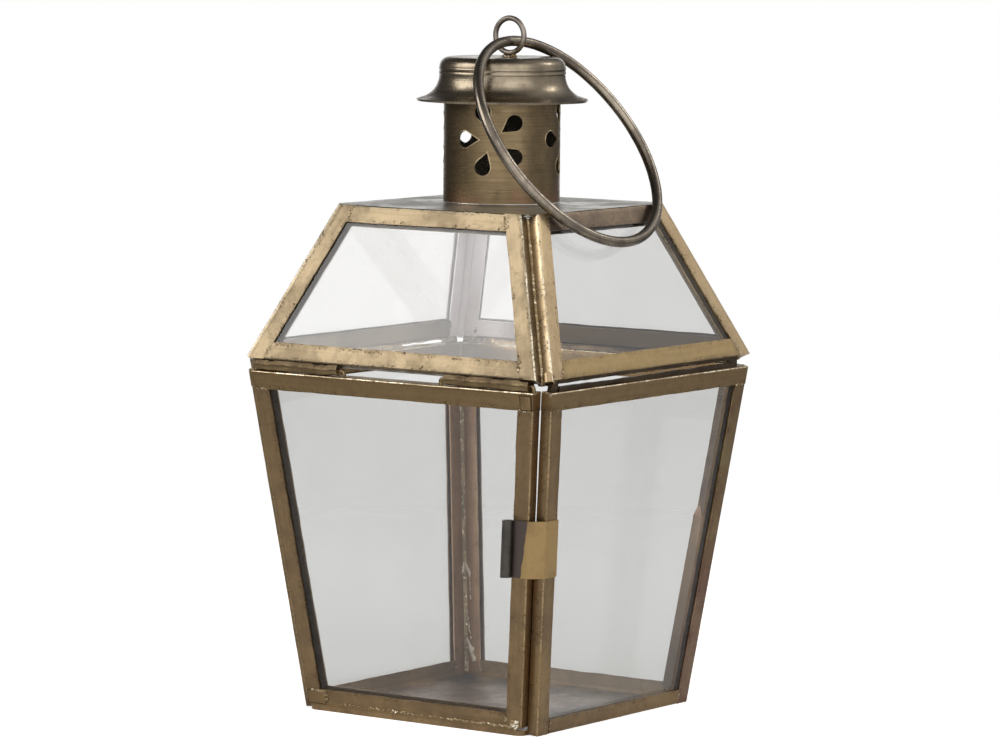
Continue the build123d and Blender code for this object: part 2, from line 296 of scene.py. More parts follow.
bmesh.ops.solidify(bm, geom=bm.faces[:], thickness=pan_sheet)
for face in bm.faces:
    middle = face.calc_center_median()
    if face.normal.z > 0.5 and middle.z < pan_high.z / 2:
        face.material_index = 0
pan = finish_piece(bm, "floor_tray", [pan_dull, pan_edge], "lantern")
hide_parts("floor_pan")

# Cames of the three fixed panes: brass strips folded to a channel round each glass.
# They are bent and cut by hand, so their edges wander, and their folds are worn bare with a painted
# highlight.
came_face = 6.3 * MM
foot_face = 5.2 * MM
rail_lap = 0.6 * MM
stile_lap = 1.5 * MM
came_sheet = 0.5 * MM
came_depth = 4.3 * MM
came_fold = 0.5 * MM
foot_half = 50.3 * MM
shoulder_half = 65.0 * MM
case_height = 120.2 * MM
side_turns = {"front": 0.0, "right": 90.0, "back": 180.0, "left": 270.0}
came_step = 1.6 * MM
weld_reach = 0.01 * MM
rubbed_glint_reach = 1.1 * MM
joint_grime_reach = 5.0 * MM
edge_grime_start = 0.72
slow_wander = 0.16 * MM
quick_wander = 0.07 * MM
fold_wander = 0.08 * MM
bow_height = 0.10 * MM
tip_bow_height = 0.06 * MM
dent_height = 0.03 * MM


class Pane:
    """Where a leaning pane stands: X along it, Y up its slope, Z outward from its outer face."""

    def __init__(self, side, low_reach, low_level, high_reach, high_level, side_gap=0.0):
        self.lean = math.atan2(high_reach - low_reach, high_level - low_level)
        self.length = math.hypot(high_reach - low_reach, high_level - low_level)
        self.taper = math.sin(self.lean)
        self.low_half = low_reach - came_depth * math.cos(self.lean) - side_gap
        self.place = (
            Matrix.Rotation(math.radians(side_turns[side]), 4, "Z")
            @ Matrix.Translation((0, -low_reach, low_level))
            @ Matrix.Rotation(math.pi / 2 + self.lean, 4, "X")
        )

    def half(self, y, inset=0.0):
        """Half the pane's width at that height, less an inset square to its side."""
        return self.low_half + y * self.taper - inset * math.hypot(1, self.taper)


def draw_out(bm, grown, way):
    """What an extrude grew, moved along a way. Gives back the moved corners."""
    far = [part for part in grown["geom"] if isinstance(part, bmesh.types.BMVert)]
    bmesh.ops.translate(bm, vec=way, verts=far)
    return far


strip_count = 0


def came_strip(pane, node, start, end, start_cut, end_cut, closed, body, material, lap, reach=came_face):
    """A folded channel along the pane's edge from start to end, its ends cut along two directions."""
    global strip_count
    strip_count += 1
    seed = Vector((strip_count * 3.17, strip_count * 1.71, strip_count * 0.93))
    run = Vector(end) - Vector(start)
    along = run.normalized()
    across = Vector((-along.y, along.x))
    spare = came_face
    bm = bmesh.new()
    section = [(reach, 0), (0, 0), (0, -came_depth), (reach + lap, -came_depth)]
    corners = [bm.verts.new((-spare, y, z)) for y, z in section]
    sides = [bm.edges.new(pair) for pair in zip(corners, corners[1:])]
    draw_out(bm, bmesh.ops.extrude_edge_only(bm, edges=sides), (run.length + 2 * spare, 0, 0))
    bmesh.ops.recalc_face_normals(bm, faces=bm.faces)
    folds = [
        edge for edge in bm.edges
        if all(vert.co.y < came_sheet for vert in edge.verts) and len(edge.link_faces) == 2
    ]
    bmesh.ops.bevel(
        bm, geom=folds, offset=came_fold, offset_type="OFFSET", segments=4, profile=0.5,
        affect="EDGES", material=-1, clamp_overlap=True,
    )
    flanges = [edge for edge in bm.edges if abs(edge.verts[0].co.y - edge.verts[1].co.y) > came_face / 2]
    bmesh.ops.subdivide_edges(bm, edges=flanges, cuts=3, use_grid_fill=True)
    lengthwise = [edge for edge in bm.edges if abs(edge.verts[0].co.x - edge.verts[1].co.x) > came_face]
    bmesh.ops.subdivide_edges(bm, edges=lengthwise, cuts=int(run.length / came_step), use_grid_fill=True)
    ends = []
    for at, cut, way in ((0.0, start_cut, -1), (run.length, end_cut, 1)):
        line = Vector((Vector(cut).dot(along), Vector(cut).dot(across), 0))
        normal = Vector((line.y, -line.x, 0)).normalized()
        normal = normal if normal.x * way > 0 else -normal
        bmesh.ops.bisect_plane(
            bm, geom=bm.verts[:] + bm.edges[:] + bm.faces[:], plane_co=(at, 0, 0),
            plane_no=normal, clear_outer=True,
        )
        ends.append((Vector((at, 0, 0)), normal))
    for (spot, normal), shut in zip(ends, closed):
        if not shut:
            continue
        rim = [
            edge for edge in bm.edges
            if edge.is_boundary
            and all(abs((vert.co - spot).dot(normal)) < weld_reach for vert in edge.verts)
        ]
        tips = [
            vert for edge in rim for vert in edge.verts
            if sum(touching in rim for touching in vert.link_edges) == 1
        ]
        bmesh.ops.contextual_create(bm, geom=rim + [bm.edges.new(tips[:2])])
    bmesh.ops.recalc_face_normals(bm, faces=bm.faces)
    bmesh.ops.solidify(bm, geom=bm.faces[:], thickness=came_sheet)
    wear_and_glint = bm.verts.layers.float_color.new("wear_and_glint")
    strip_map = bm.loops.layers.uv.new("strip")
    for face in bm.faces:
        for loop in face.loops:
            spot = loop.vert.co
            loop[strip_map].uv = (spot.x + seed.x, spot.y - spot.z + seed.y)
    for vert in bm.verts:
        spot = vert.co.copy()
        out = spot.y / reach
        end_room = min(abs((spot - at).dot(normal)) for at, normal in ends)
        fold_room = min((Vector((spot.y, spot.z - top))).length for top in (0.0, -came_depth))
        vert[wear_and_glint] = (
            max(0.0, 1 - fold_room / rubbed_glint_reach),
            max(0.0, (out - edge_grime_start) / (1 - edge_grime_start)),
            max(0.0, 1 - end_room / joint_grime_reach),
            1.0,
        )
        face_side = 1.0 if spot.z > -came_depth / 2 else -1.0
        shift = Vector((spot.x * 60, face_side * 3, 0)) + seed
        tip = noise.noise(shift * 2.2) * slow_wander + noise.noise(shift * 6.1) * quick_wander
        bow = 0.5 + 0.5 * noise.noise(shift * 1.1)
        dent = 0.5 + 0.5 * noise.noise(spot * 420 + seed)
        vert.co.y += out * tip
        vert.co.z += face_side * (bow_height * bow + dent_height * dent + tip_bow_height * out * bow)
        vert.co.y -= (1 - out) * fold_wander * noise.noise(shift * 3.3)
    strip_place = Matrix((
        (along.x, across.x, 0, start[0]),
        (along.y, across.y, 0, start[1]),
        (0, 0, 1, 0),
        (0, 0, 0, 1),
    ))
    bmesh.ops.transform(bm, matrix=pane.place @ strip_place, verts=bm.verts)
    piece = finish_piece(bm, "came_" + node, [material], body)
    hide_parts(node)


def came_set(
    pane, name, capped, body, material, rail_material=None, left_out=(0, 0), right_out=(0, 0), laps=None
):
    """The four channels round one glass. A capped pane's top rail covers the ends of its stiles."""
    top = pane.length
    stile_top = top - came_face if capped else top
    inset = 0 if capped else came_face
    level = (1, 0)
    lean_right = (pane.taper, 1)
    lean_left = (-pane.taper, 1)
    rail_material = rail_material or material
    low_face = foot_face if capped else came_face
    side_lap = stile_lap if capped else rail_lap
    low_lap, right_lap, top_lap, left_lap = laps or (rail_lap, side_lap, rail_lap, side_lap)
    came_strip(
        pane, name + "_bottom_rail", (-pane.half(0, came_face), 0), (pane.half(0, came_face), 0),
        lean_left, lean_right, (False, False), body, material, low_lap, low_face,
    )
    came_strip(
        pane, name + "_right_stile", (pane.half(0) + right_out[0], 0),
        (pane.half(stile_top) + right_out[1], stile_top),
        level, level, (True, not capped), body, material, right_lap,
    )
    came_strip(
        pane, name + "_top_rail", (pane.half(top, inset), top), (-pane.half(top, inset), top),
        lean_right, lean_left, (capped, capped), body, rail_material, top_lap,
    )
    came_strip(
        pane, name + "_left_stile", (-pane.half(stile_top) - left_out[1], stile_top),
        (-pane.half(0) - left_out[0], 0), level, level, (not capped, True), body, material, left_lap,
    )


# Rubbing and glint: bright flecks along the folds, worn bare and painted as highlights, and grime
# against the glass and at the soldered ends.
rubbing_and_glint, given, wanted = start_group(
    "rubbing_and_glint",
    [("Place", "Vector"), ("Strip", "Vector"), ("Wear And Glint", "Color"), ("Color", "Color"), ("Bright", "Color"),
     ("Grime", "Color"), ("Shine", "Float"), ("Dirt", "Float")],
    [("Color", "Color"), ("Bare Glint", "Float"), ("Dirty", "Float"), ("Streak", "Float")],
)
parts = add_node(rubbing_and_glint, "SeparateColor", None, {"Color": given["Wear And Glint"]}).outputs
flecks = grain(rubbing_and_glint, given["Place"], 900.0, 4.0, 0.65)
smear = grain(rubbing_and_glint, given["Place"], 170.0, 4.0, 0.6)
patches = spread(rubbing_and_glint, grain(rubbing_and_glint, given["Place"], 70.0, 3.0, 0.6), 0.42, 0.62)
chips = spread(rubbing_and_glint, grain(rubbing_and_glint, given["Place"], 1500.0, 2.0, 0.5), 0.53, 0.57)
# Painted highlight: near-white flecks along the folds, where the metal is also worn bare.
bare_glint = times(rubbing_and_glint, spread(rubbing_and_glint, parts["Red"], 0.5, 0.75), spread(rubbing_and_glint, flecks, 0.36, 0.54))
bare_glint = times(rubbing_and_glint, bare_glint, spread(rubbing_and_glint, patches, 0.0, 1.0, 0.35, 1.0))
bare_glint = times(rubbing_and_glint, bare_glint, given["Shine"])
rim = larger(rubbing_and_glint, parts["Green"], times(rubbing_and_glint, parts["Red"], 0.7))
rim_chips = times(rubbing_and_glint, spread(rubbing_and_glint, rim, 0.0, 0.5), chips)
rim_chips = times(rubbing_and_glint, rim_chips, spread(rubbing_and_glint, smear, 0.45, 0.58))
face_chips = times(rubbing_and_glint, chips, spread(rubbing_and_glint, smear, 0.65, 0.70))
rim_dirt = times(rubbing_and_glint, spread(rubbing_and_glint, parts["Green"], 0.5, 1.0), spread(rubbing_and_glint, smear, 0.3, 0.6))
end_dirt = times(rubbing_and_glint, spread(rubbing_and_glint, parts["Blue"], 0.3, 1.0), spread(rubbing_and_glint, smear, 0.42, 0.62))
dirty = larger(rubbing_and_glint, rim_chips, times(rubbing_and_glint, rim_dirt, 0.25))
dirty = larger(rubbing_and_glint, dirty, times(rubbing_and_glint, face_chips, 0.8))
dirty = plus(rubbing_and_glint, dirty, times(rubbing_and_glint, end_dirt, 0.35))
dirty = times(rubbing_and_glint, dirty, given["Dirt"])
stretch = add_node(
    rubbing_and_glint, "Mapping", None, {"Vector": given["Strip"], "Scale": (35.0, 700.0, 1.0)}
).outputs[0]
streak = grain(rubbing_and_glint, stretch, 1.0, 3.0, 0.6)
colour = tint(rubbing_and_glint, spread(rubbing_and_glint, streak, 0.4, 0.8, 0.0, 0.22), given["Color"], given["Grime"])
colour = tint(rubbing_and_glint, dirty, colour, given["Grime"])
colour = tint(rubbing_and_glint, bare_glint, colour, given["Bright"])
rubbing_and_glint.links.new(colour, wanted["Color"])
rubbing_and_glint.links.new(bare_glint, wanted["Bare Glint"])
rubbing_and_glint.links.new(dirty, wanted["Dirty"])
rubbing_and_glint.links.new(streak, wanted["Streak"])


came_bump = 0.025 * MM


def came_brass(name, clean, dull, grime_and_shade, bright, cover, pitting, shine, dirt):
    """Folded came brass: tarnish over the sheet, folds worn bare with a painted highlight, dirt along the
    glass.
    """
    material, tree, shader, aged = start_brass(name, clean, dull, grime_and_shade, cover, pitting)
    wear_and_glint_at = add_node(tree, "Attribute", {"attribute_name": "wear_and_glint"}).outputs["Color"]
    strip = add_node(tree, "UVMap", {"uv_map": "strip"}).outputs["UV"]
    rubbed_and_glint = use_group(tree, rubbing_and_glint, {
        "Place": place_of(tree), "Strip": strip, "Wear And Glint": wear_and_glint_at, "Color": aged["Color"],
        "Bright": bright, "Grime": grime_and_shade, "Shine": shine, "Dirt": dirt,
    })
    tree.links.new(rubbed_and_glint["Color"], shader.inputs["Base Color"])
    rough = less(tree, aged["Roughness"], times(tree, rubbed_and_glint["Bare Glint"], 0.12))
    rough = plus(tree, rough, times(tree, rubbed_and_glint["Dirty"], 0.2))
    tree.links.new(rough, shader.inputs["Roughness"])
    height = times(tree, aged["Height"], 0.6)
    height = plus(tree, height, times(tree, rubbed_and_glint["Streak"], 0.3))
    height = plus(tree, height, times(tree, rubbed_and_glint["Bare Glint"], 0.3))
    raise_marks(tree, shader, height, came_bump)
    return material


case_brass = came_brass(
    "case_brass", (0.315, 0.216, 0.108, 1), (0.248, 0.168, 0.086, 1), (0.06, 0.04, 0.025, 1),
    (1.0, 0.88, 0.66, 1), cover=0.5, pitting=0.1, shine=0.9, dirt=0.55,
)
stile_brass = came_brass(
    "stile_brass", (0.315, 0.216, 0.112, 1), (0.238, 0.163, 0.093, 1), (0.06, 0.04, 0.025, 1),
    (0.52, 0.38, 0.21, 1), cover=0.5, pitting=0.1, shine=0.75, dirt=0.55,
)
far_brass = came_brass(
    "far_brass", (0.46, 0.31, 0.19, 1), (0.37, 0.235, 0.15, 1), (0.09, 0.06, 0.05, 1),
    (0.8, 0.62, 0.42, 1), cover=0.5, pitting=0.2, shine=0.5, dirt=0.5,
)
red_brass = came_brass(
    "red_brass", (0.28, 0.19, 0.125, 1), (0.22, 0.128, 0.092, 1), (0.07, 0.03, 0.025, 1),
    (0.9, 0.7, 0.5, 1), cover=0.6, pitting=0.2, shine=0.6, dirt=0.6,
)
red_below = 38 * MM
brown_above = 62 * MM
tree = red_brass.node_tree
shader = tree.nodes["Principled BSDF"]
painted = shader.inputs["Base Color"].links[0].from_socket
upper = spread(tree, measures(tree, place_of(tree))["Z"], red_below, brown_above)
tree.links.new(tint(tree, upper, painted, (1.0, 1.1, 0.86, 1), "MULTIPLY"), shader.inputs["Base Color"])
shade_brass = came_brass(
    "shade_brass", (0.185, 0.122, 0.066, 1), (0.145, 0.095, 0.055, 1), (0.06, 0.04, 0.03, 1),
    (0.42, 0.31, 0.19, 1), cover=0.5, pitting=0.3, shine=0.5, dirt=0.9,
)
case_laps = {
    "right": (-0.5 * MM, rail_lap, rail_lap, stile_lap),
    "back": (rail_lap, 0.1 * MM, 1.3 * MM, stile_lap),
    "left": (rail_lap, stile_lap, -0.8 * MM, 0.8 * MM),
}
stile_askew = (0.9 * MM, 0.25 * MM)
case_panes = {}
for side in ("right", "back", "left"):
    case_panes[side] = Pane(side, foot_half, 0, shoulder_half, case_height)
    askew = stile_askew if side == "right" else (0, 0)
    came_set(
        case_panes[side], side + "_pane", True, "lantern", stile_brass, case_brass, askew,
        laps=case_laps[side],
    )


def refinish(node, brass):
    """A channel that is already in place takes another brass."""
    bpy.data.objects["came_" + node].material_slots[0].material = brass


refinish("right_pane_right_stile", red_brass)
refinish("back_pane_left_stile", shade_brass)
# The two stiles of the back left corner take a paler, pinker brass: painted light.
refinish("back_pane_right_stile", far_brass)
refinish("left_pane_left_stile", far_brass)


# Glass of the case, the door and the roof: flat clear sheets, faintly grey, held in the channels,
# with a thin film of dust and finger smears. Light from the lamps passes through.
def window_glass(name, clear, dusty):
    """Clear glass that lets the lamps through, with a duller tint where it is dusty."""
    material, tree, shader, place = start_finish(name)
    shader.inputs["Transmission Weight"].default_value = 1.0
    shader.inputs["IOR"].default_value = 1.5
    smears = spread(tree, grain(tree, place, 26.0, 5.0, 0.65), 0.4, 0.75)
    tree.links.new(tint(tree, smears, clear, dusty), shader.inputs["Base Color"])
    shader.inputs["Roughness"].default_value = 0.0
    lamp_way = add_node(tree, "BsdfTransparent", None, {"Color": (0.84, 0.845, 0.835, 1)})
    lamp_rays = tree.nodes.new("ShaderNodeLightPath").outputs["Is Shadow Ray"]
    let_through = add_node(
        tree, "MixShader", None, {0: lamp_rays, 1: shader.outputs["BSDF"], 2: lamp_way.outputs[0]}
    )
    tree.links.new(let_through.outputs[0], tree.nodes["Material Output"].inputs["Surface"])
    return material


case_glass = window_glass("case_glass", (0.78, 0.782, 0.775, 1), (0.762, 0.764, 0.756, 1))
roof_glass = window_glass("roof_glass", (0.825, 0.823, 0.818, 1), (0.80, 0.797, 0.79, 1))
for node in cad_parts:
    if node.endswith("_glass"):
        finish_node(node, roof_glass if node.startswith("roof") else case_glass)

# Door: the front pane in the same folded cames, free of its neighbours by a hair at each side.
# It hangs from the hinge wires and stands clear of the pan below it.
door_lift = 2.75 * MM
door_side_gap = 0.4 * MM
door_reach = foot_half + (shoulder_half - foot_half) * door_lift / case_height
door_pane = Pane("front", door_reach, door_lift, shoulder_half, case_height, door_side_gap)
door_askew = (0.3 * MM, 0)
came_set(door_pane, "door", True, "door", stile_brass, case_brass, right_out=door_askew)

# Roof cames: the same strips, less handled and paler, with dark specks where the polish missed.
# The top rails lie under the edge of the crown plate and have gone brown.
eave_half = 65.4 * MM
eave_level = 124.685 * MM
crown_half = 42.6 * MM
roof_rise = 53.5 * MM
crown_level = eave_level + roof_rise
roof_tones = ((0.255, 0.2, 0.124, 1), (0.22, 0.17, 0.105, 1), (0.055, 0.036, 0.024, 1))
roof_brass = came_brass(
    "roof_brass", *roof_tones, (1.0, 0.9, 0.7, 1), cover=0.45, pitting=0.2, shine=1.0, dirt=0.9
)
roof_foot_brass = came_brass(
    "roof_foot_brass", *roof_tones, (0.3, 0.24, 0.15, 1), cover=0.45, pitting=0.2, shine=0.3, dirt=0.9
)
right_foot_brass = came_brass(
    "right_foot_brass", (0.48, 0.345, 0.17, 1), (0.40, 0.285, 0.14, 1), (0.07, 0.045, 0.03, 1),
    (0.6, 0.48, 0.3, 1), cover=0.45, pitting=0.2, shine=0.3, dirt=0.6,
)
corner_brass = came_brass(
    "corner_brass", (0.60, 0.45, 0.265, 1), (0.46, 0.34, 0.20, 1), (0.08, 0.05, 0.035, 1),
    (1.0, 0.9, 0.7, 1), cover=0.45, pitting=0.4, shine=1.0, dirt=0.8,
)
crown_rail_brass = came_brass(
    "crown_rail_brass", (0.27, 0.2, 0.135, 1), (0.17, 0.13, 0.098, 1), (0.05, 0.036, 0.027, 1),
    (0.6, 0.48, 0.3, 1), cover=0.6, pitting=0.3, shine=0.5, dirt=0.7,
)
roof_panes = {}
for side in side_turns:
    roof_panes[side] = Pane(side, eave_half, eave_level, crown_half, crown_level)
    rail_brass = roof_brass if side == "front" else crown_rail_brass
    came_set(roof_panes[side], "roof_" + side, False, "lantern", roof_brass, rail_brass)
    refinish("roof_" + side + "_bottom_rail", right_foot_brass if side == "right" else roof_foot_brass)
# The right roof pane's two stiles take a much paler brass, painted light for their bright reflections.
refinish("roof_right_left_stile", corner_brass)
refinish("roof_right_right_stile", corner_brass)

# Corner glare: the inward faces of the channels and of the bead in the roof's far corner are painted a pale
# pink-white, a painted reflection of glare on the glass before them, fading to brown along the back rail.
glare_fade_start = 18 * MM
glare_fade_end = 45 * MM
corner_glare_brass, tree, shader, aged = start_brass(
    "corner_glare_brass", (1.0, 0.94, 0.96, 1), (0.92, 0.85, 0.88, 1), (0.2, 0.15, 0.1, 1),
    cover=0.5, pitting=0.1, metal=0.45,
)
spot = measures(tree, place_of(tree))
roof_slope = 2 * (eave_half - crown_half) / roof_rise
raised = times(tree, less(tree, spot["Z"], eave_level), roof_slope)
toward = plus(tree, less(tree, spot["Y"], spot["X"]), raised)
near = spread(tree, toward, 2 * eave_half - glare_fade_end, 2 * eave_half - glare_fade_start)
tree.links.new(tint(tree, near, (0.12, 0.074, 0.03, 1), aged["Color"]), shader.inputs["Base Color"])
# These three channels' inward faces take the painted glare.
for node in ("came_roof_left_left_stile", "came_roof_back_right_stile", "came_roof_back_bottom_rail"):
    mesh = bpy.data.objects[node].data
    mesh.materials.append(corner_glare_brass)
    for face in mesh.polygons:
        if face.normal.dot((face.center.x, face.center.y, 0)) < 0:
            face.material_index = 1

# Solder: lumpy tin beads run up the notches at the corners and dabbed across the eave,
# then washed with brass colour. Fine bright flecks on it are painted glints.
solder_dab, tree, shader, aged = start_brass(
    "solder_dab", (0.34, 0.25, 0.135, 1), (0.19, 0.135, 0.075, 1), (0.06, 0.04, 0.025, 1),
    cover=0.5, pitting=0.35, size=1.6,
)
place = place_of(tree)
glints = spread(tree, grain(tree, place, 1100.0, 4.0, 0.65), 0.55, 0.66)
tree.links.new(tint(tree, glints, aged["Color"], (0.95, 0.86, 0.66, 1)), shader.inputs["Base Color"])
tree.links.new(less(tree, aged["Roughness"], times(tree, glints, 0.15)), shader.inputs["Roughness"])
solder_bump = 0.25 * MM
raise_marks(tree, shader, grain(tree, place, 700.0, 4.0, 0.6), solder_bump)
bead_leg = 1.6 * MM
bead_fill = 0.62
bead_lumps = 0.9 * MM
bead_step = 0.9 * MM
inner_leg = 1.1 * MM
inner_fill = 0.8
inner_lumps = 0.6 * MM


def solder_bead(bm, pane, neighbour, seed, way_out=1.0, leg=bead_leg, fill=bead_fill, lumps=bead_lumps):
    """A lumpy bead up the corner between a pane's right edge and the next pane round."""
    foot = pane.place @ Vector((pane.half(0), 0, -came_depth))
    head = pane.place @ Vector((pane.half(pane.length), pane.length, -came_depth))
    first = pane.place.to_3x3() @ Vector((0, 0, way_out))
    second = neighbour.place.to_3x3() @ Vector((0, 0, way_out))
    middle = (first + second).normalized()
    corners = [foot, foot + first * leg, foot + middle * leg * fill, foot + second * leg]
    base = bm.faces.new([bm.verts.new(corner) for corner in corners])
    far = draw_out(bm, bmesh.ops.extrude_face_region(bm, geom=[base]), head - foot)
    span = (head - foot).length
    runs = {edge for vert in far for edge in vert.link_edges if edge.calc_length() > span / 2}
    cuts = bmesh.ops.subdivide_edges(bm, edges=list(runs), cuts=int(span / bead_step))["geom_inner"]
    way = (head - foot).normalized()
    for vert in {part for part in cuts if isinstance(part, bmesh.types.BMVert)}:
        away = vert.co - foot
        away -= way * away.dot(way)
        if away.length < leg * 0.1:
            continue
        lump = noise.noise(vert.co * 330 + seed) * 0.30 + noise.noise(vert.co * 900 + seed) * 0.22
        vert.co += away.normalized() * lump * lumps


back_corners = ((case_panes["right"], case_panes["back"]), (case_panes["back"], case_panes["left"]))
bm = bmesh.new()
for pair, seed in zip(back_corners, ((5, 1, 2), (9, 4, 7))):
    solder_bead(bm, *pair, Vector(seed))
for pair, seed in zip(back_corners, ((2, 8, 3), (1, 6, 9))):
    solder_bead(bm, *pair, Vector(seed), -1.0, inner_leg, inner_fill, inner_lumps)
bmesh.ops.recalc_face_normals(bm, faces=bm.faces)
case_solder = finish_piece(bm, "case_solder_beads", [solder_dab], "lantern", 60.0)
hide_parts("case_corner_solder")

roof_leg = 0.6 * MM
roof_fill = 0.8
roof_lumps = 0.5 * MM
roof_inner_leg = 1.8 * MM
roof_inner_fill = 0.9
bm = bmesh.new()
roof_order = list(side_turns)
for place_in_ring, side in enumerate(roof_order):
    next_side = roof_order[(place_in_ring + 1) % len(roof_order)]
    pair = (roof_panes[side], roof_panes[next_side])
    outer_seed = Vector((place_in_ring * 3, 11, 5))
    inner_seed = Vector((place_in_ring * 5, 2, 8))
    solder_bead(bm, *pair, outer_seed, 1.0, roof_leg, roof_fill, roof_lumps)
    solder_bead(bm, *pair, inner_seed, -1.0, roof_inner_leg, roof_inner_fill)
bmesh.ops.recalc_face_normals(bm, faces=bm.faces)
# In the far corner the bead's inward faces take the painted glare.
for face in bm.faces:
    middle = face.calc_center_median()
    if middle.x < 0 < middle.y and face.normal.dot((middle.x, middle.y, 0)) < 0:
        face.material_index = 1
roof_solder = finish_piece(bm, "roof_solder_beads", [solder_dab, corner_glare_brass], "lantern", 60.0)
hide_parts("roof_corner_solder")

# Eave seam: the roof is closed down on the case by a run of solder along the back and most of
# the left side. On the right two slim posts carry it, between ridges, and the front is left open
# for the hinge, with a ridge over each tube. Posts and ridges are painted dark, a painted shade.
# Each run goes from one share of the half width to another, from one share of the gap's height
# to another, and stands back from both faces of the pane by so many millimetres. 1 is painted shade.
eave_seams = {
    "front": ((-0.96, -0.38, 0.7, 1, 1.3, 1), (0.38, 0.96, 0.7, 1, 1.3, 1)),
    "right": (
        (-0.98, -0.92, 0, 1, 1.4, 1), (0.82, 0.91, 0, 1, 1.5, 1), (-0.91, 0.86, 0, 0.42, 1.0, 1),
        (-0.91, 0.86, 0.72, 1, 1.5, 1),
    ),
    "back": ((-0.92, 0.99, 0, 1, 0.8, 0),),
    "left": (
        (-0.99, -0.88, 0, 1, 0.8, 0), (-0.44, 0.99, 0, 1, 0.8, 0), (-0.88, -0.44, 0.5, 1, 0.8, 0),
        (-0.88, -0.44, 0, 0.2, 0.8, 0),
    ),
}
dark_shade_brass = plain_brass(
    "dark_shade_brass", (0.10, 0.072, 0.045, 1), (0.06, 0.043, 0.028, 1), (0.03, 0.02, 0.015, 1),
    cover=0.5, pitting=0.3, size=1.6,
)
bm = bmesh.new()
for side, pane in (case_panes | {"front": door_pane}).items():
    above = roof_panes[side]
    for seam_start, seam_end, seam_low, seam_high, set_back, finish in eave_seams[side]:
        reach = pane.half(pane.length)
        seam_margin = set_back * MM
        corners = []
        for share, depth in (
            (seam_low, seam_margin), (seam_low, came_depth - seam_margin),
            (seam_high, came_depth - seam_margin), (seam_high, seam_margin),
        ):
            under = pane.place @ Vector((seam_start * reach, pane.length, -depth))
            over = above.place @ Vector((seam_start * reach, 0, -depth))
            corners.append(under.lerp(over, share))
        base = bm.faces.new([bm.verts.new(corner) for corner in corners])
        run = pane.place.to_3x3() @ Vector(((seam_end - seam_start) * reach, 0, 0))
        far = draw_out(bm, bmesh.ops.extrude_face_region(bm, geom=[base]), run)
        for face in {face for vert in far for face in vert.link_faces} | {base}:
            face.material_index = finish
bmesh.ops.recalc_face_normals(bm, faces=bm.faces)
seam_long = 4.5 * MM
seam_tall = 3 * MM
long_runs = [edge for edge in bm.edges if (edge.verts[0].co - edge.verts[1].co).xy.length > seam_long]
bmesh.ops.subdivide_edges(bm, edges=long_runs, cuts=60, use_grid_fill=True)
rises = [edge for edge in bm.edges if abs((edge.verts[0].co - edge.verts[1].co).z) > seam_tall]
bmesh.ops.subdivide_edges(bm, edges=rises, cuts=4, use_grid_fill=True)
bm.normal_update()
pushes = {
    vert: vert.normal * (0.45 * noise.noise(vert.co * 160) + 0.25 * noise.noise(vert.co * 520)) * MM
    for vert in bm.verts
}
for vert, push in pushes.items():
    vert.co += push
# The back run is painted dark, a painted shade, away from the corner painted with glare.
back_run_from = shoulder_half - 8 * MM
shaded_from = -18 * MM
for face in bm.faces:
    middle = face.calc_center_median()
    if middle.y > back_run_from and middle.x > shaded_from:
        face.material_index = 1
eave_run = finish_piece(bm, "eave_seam", [solder_dab, dark_shade_brass], "lantern", 60.0)
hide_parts("eave_solder")

# Corner roll: the brass strip down the roof's front right corner ends in an open roll, bent
# by hand, just above the case. Its inside is painted dark, a painted shade.
roll_pane = roof_panes["right"]
roll_radius = 1.9 * MM
roll_length = 3.4 * MM
roll_inset = 1.1 * MM
roll_lift = 1.0 * MM
roll_sheet = 0.35 * MM
roll_foot, roll_head = (
    roll_pane.place @ Vector((roll_inset - roll_pane.half(y), level, -roll_radius))
    for y, level in ((0, roll_lift), (roll_pane.length, roll_pane.length))
)
roll_way = roll_foot - roll_head
bm = bmesh.new()
bmesh.ops.create_cone(
    bm, cap_ends=False, segments=24, radius1=roll_radius, radius2=roll_radius, depth=roll_length
)
bmesh.ops.recalc_face_normals(bm, faces=bm.faces)
bmesh.ops.solidify(bm, geom=bm.faces[:], thickness=roll_sheet)
for face in bm.faces:
    middle = face.calc_center_median()
    if face.normal.dot((middle.x, middle.y, 0)) < -0.5 * middle.xy.length:
        face.material_index = 1
lid = bmesh.ops.create_circle(bm, cap_ends=True, segments=24, radius=roll_radius * 0.95)["verts"]
for face in lid[0].link_faces:
    face.material_index = 1
roll_turn = roll_way.to_track_quat("Z", "Y").to_matrix().to_4x4()
bmesh.ops.transform(bm, matrix=Matrix.Translation(roll_foot) @ roll_turn, verts=bm.verts)
finish_piece(bm, "corner_roll", [corner_brass, dark_shade_brass], "lantern", 50.0)


# Joint crumbs: specks and short smears of solder left where a rail meets a stile,
# up the inside of the back corners, and along the bottom edge of the door.
def solder_lump(bm, middle, turn, size, seed):
    """A crumb of solder: a rounded lump pushed out of shape."""
    ball = bmesh.ops.create_icosphere(bm, subdivisions=2, radius=1.0)["verts"]
    for vert in ball:
        swell = 1 + 0.5 * noise.noise(vert.co * 1.3 + seed) + 0.2 * noise.noise(vert.co * 3.7 + seed)
        vert.co = vert.co * swell
    bmesh.ops.scale(bm, vec=size, verts=ball)
    bmesh.ops.transform(bm, matrix=Matrix.Translation(middle) @ turn, verts=ball)


crumbs_per_joint = 6
crumb_size = Vector((1.0, 0.5, 0.22)) * MM
crumb_out = 0.1 * MM
crumb_drift = 0.5 * MM


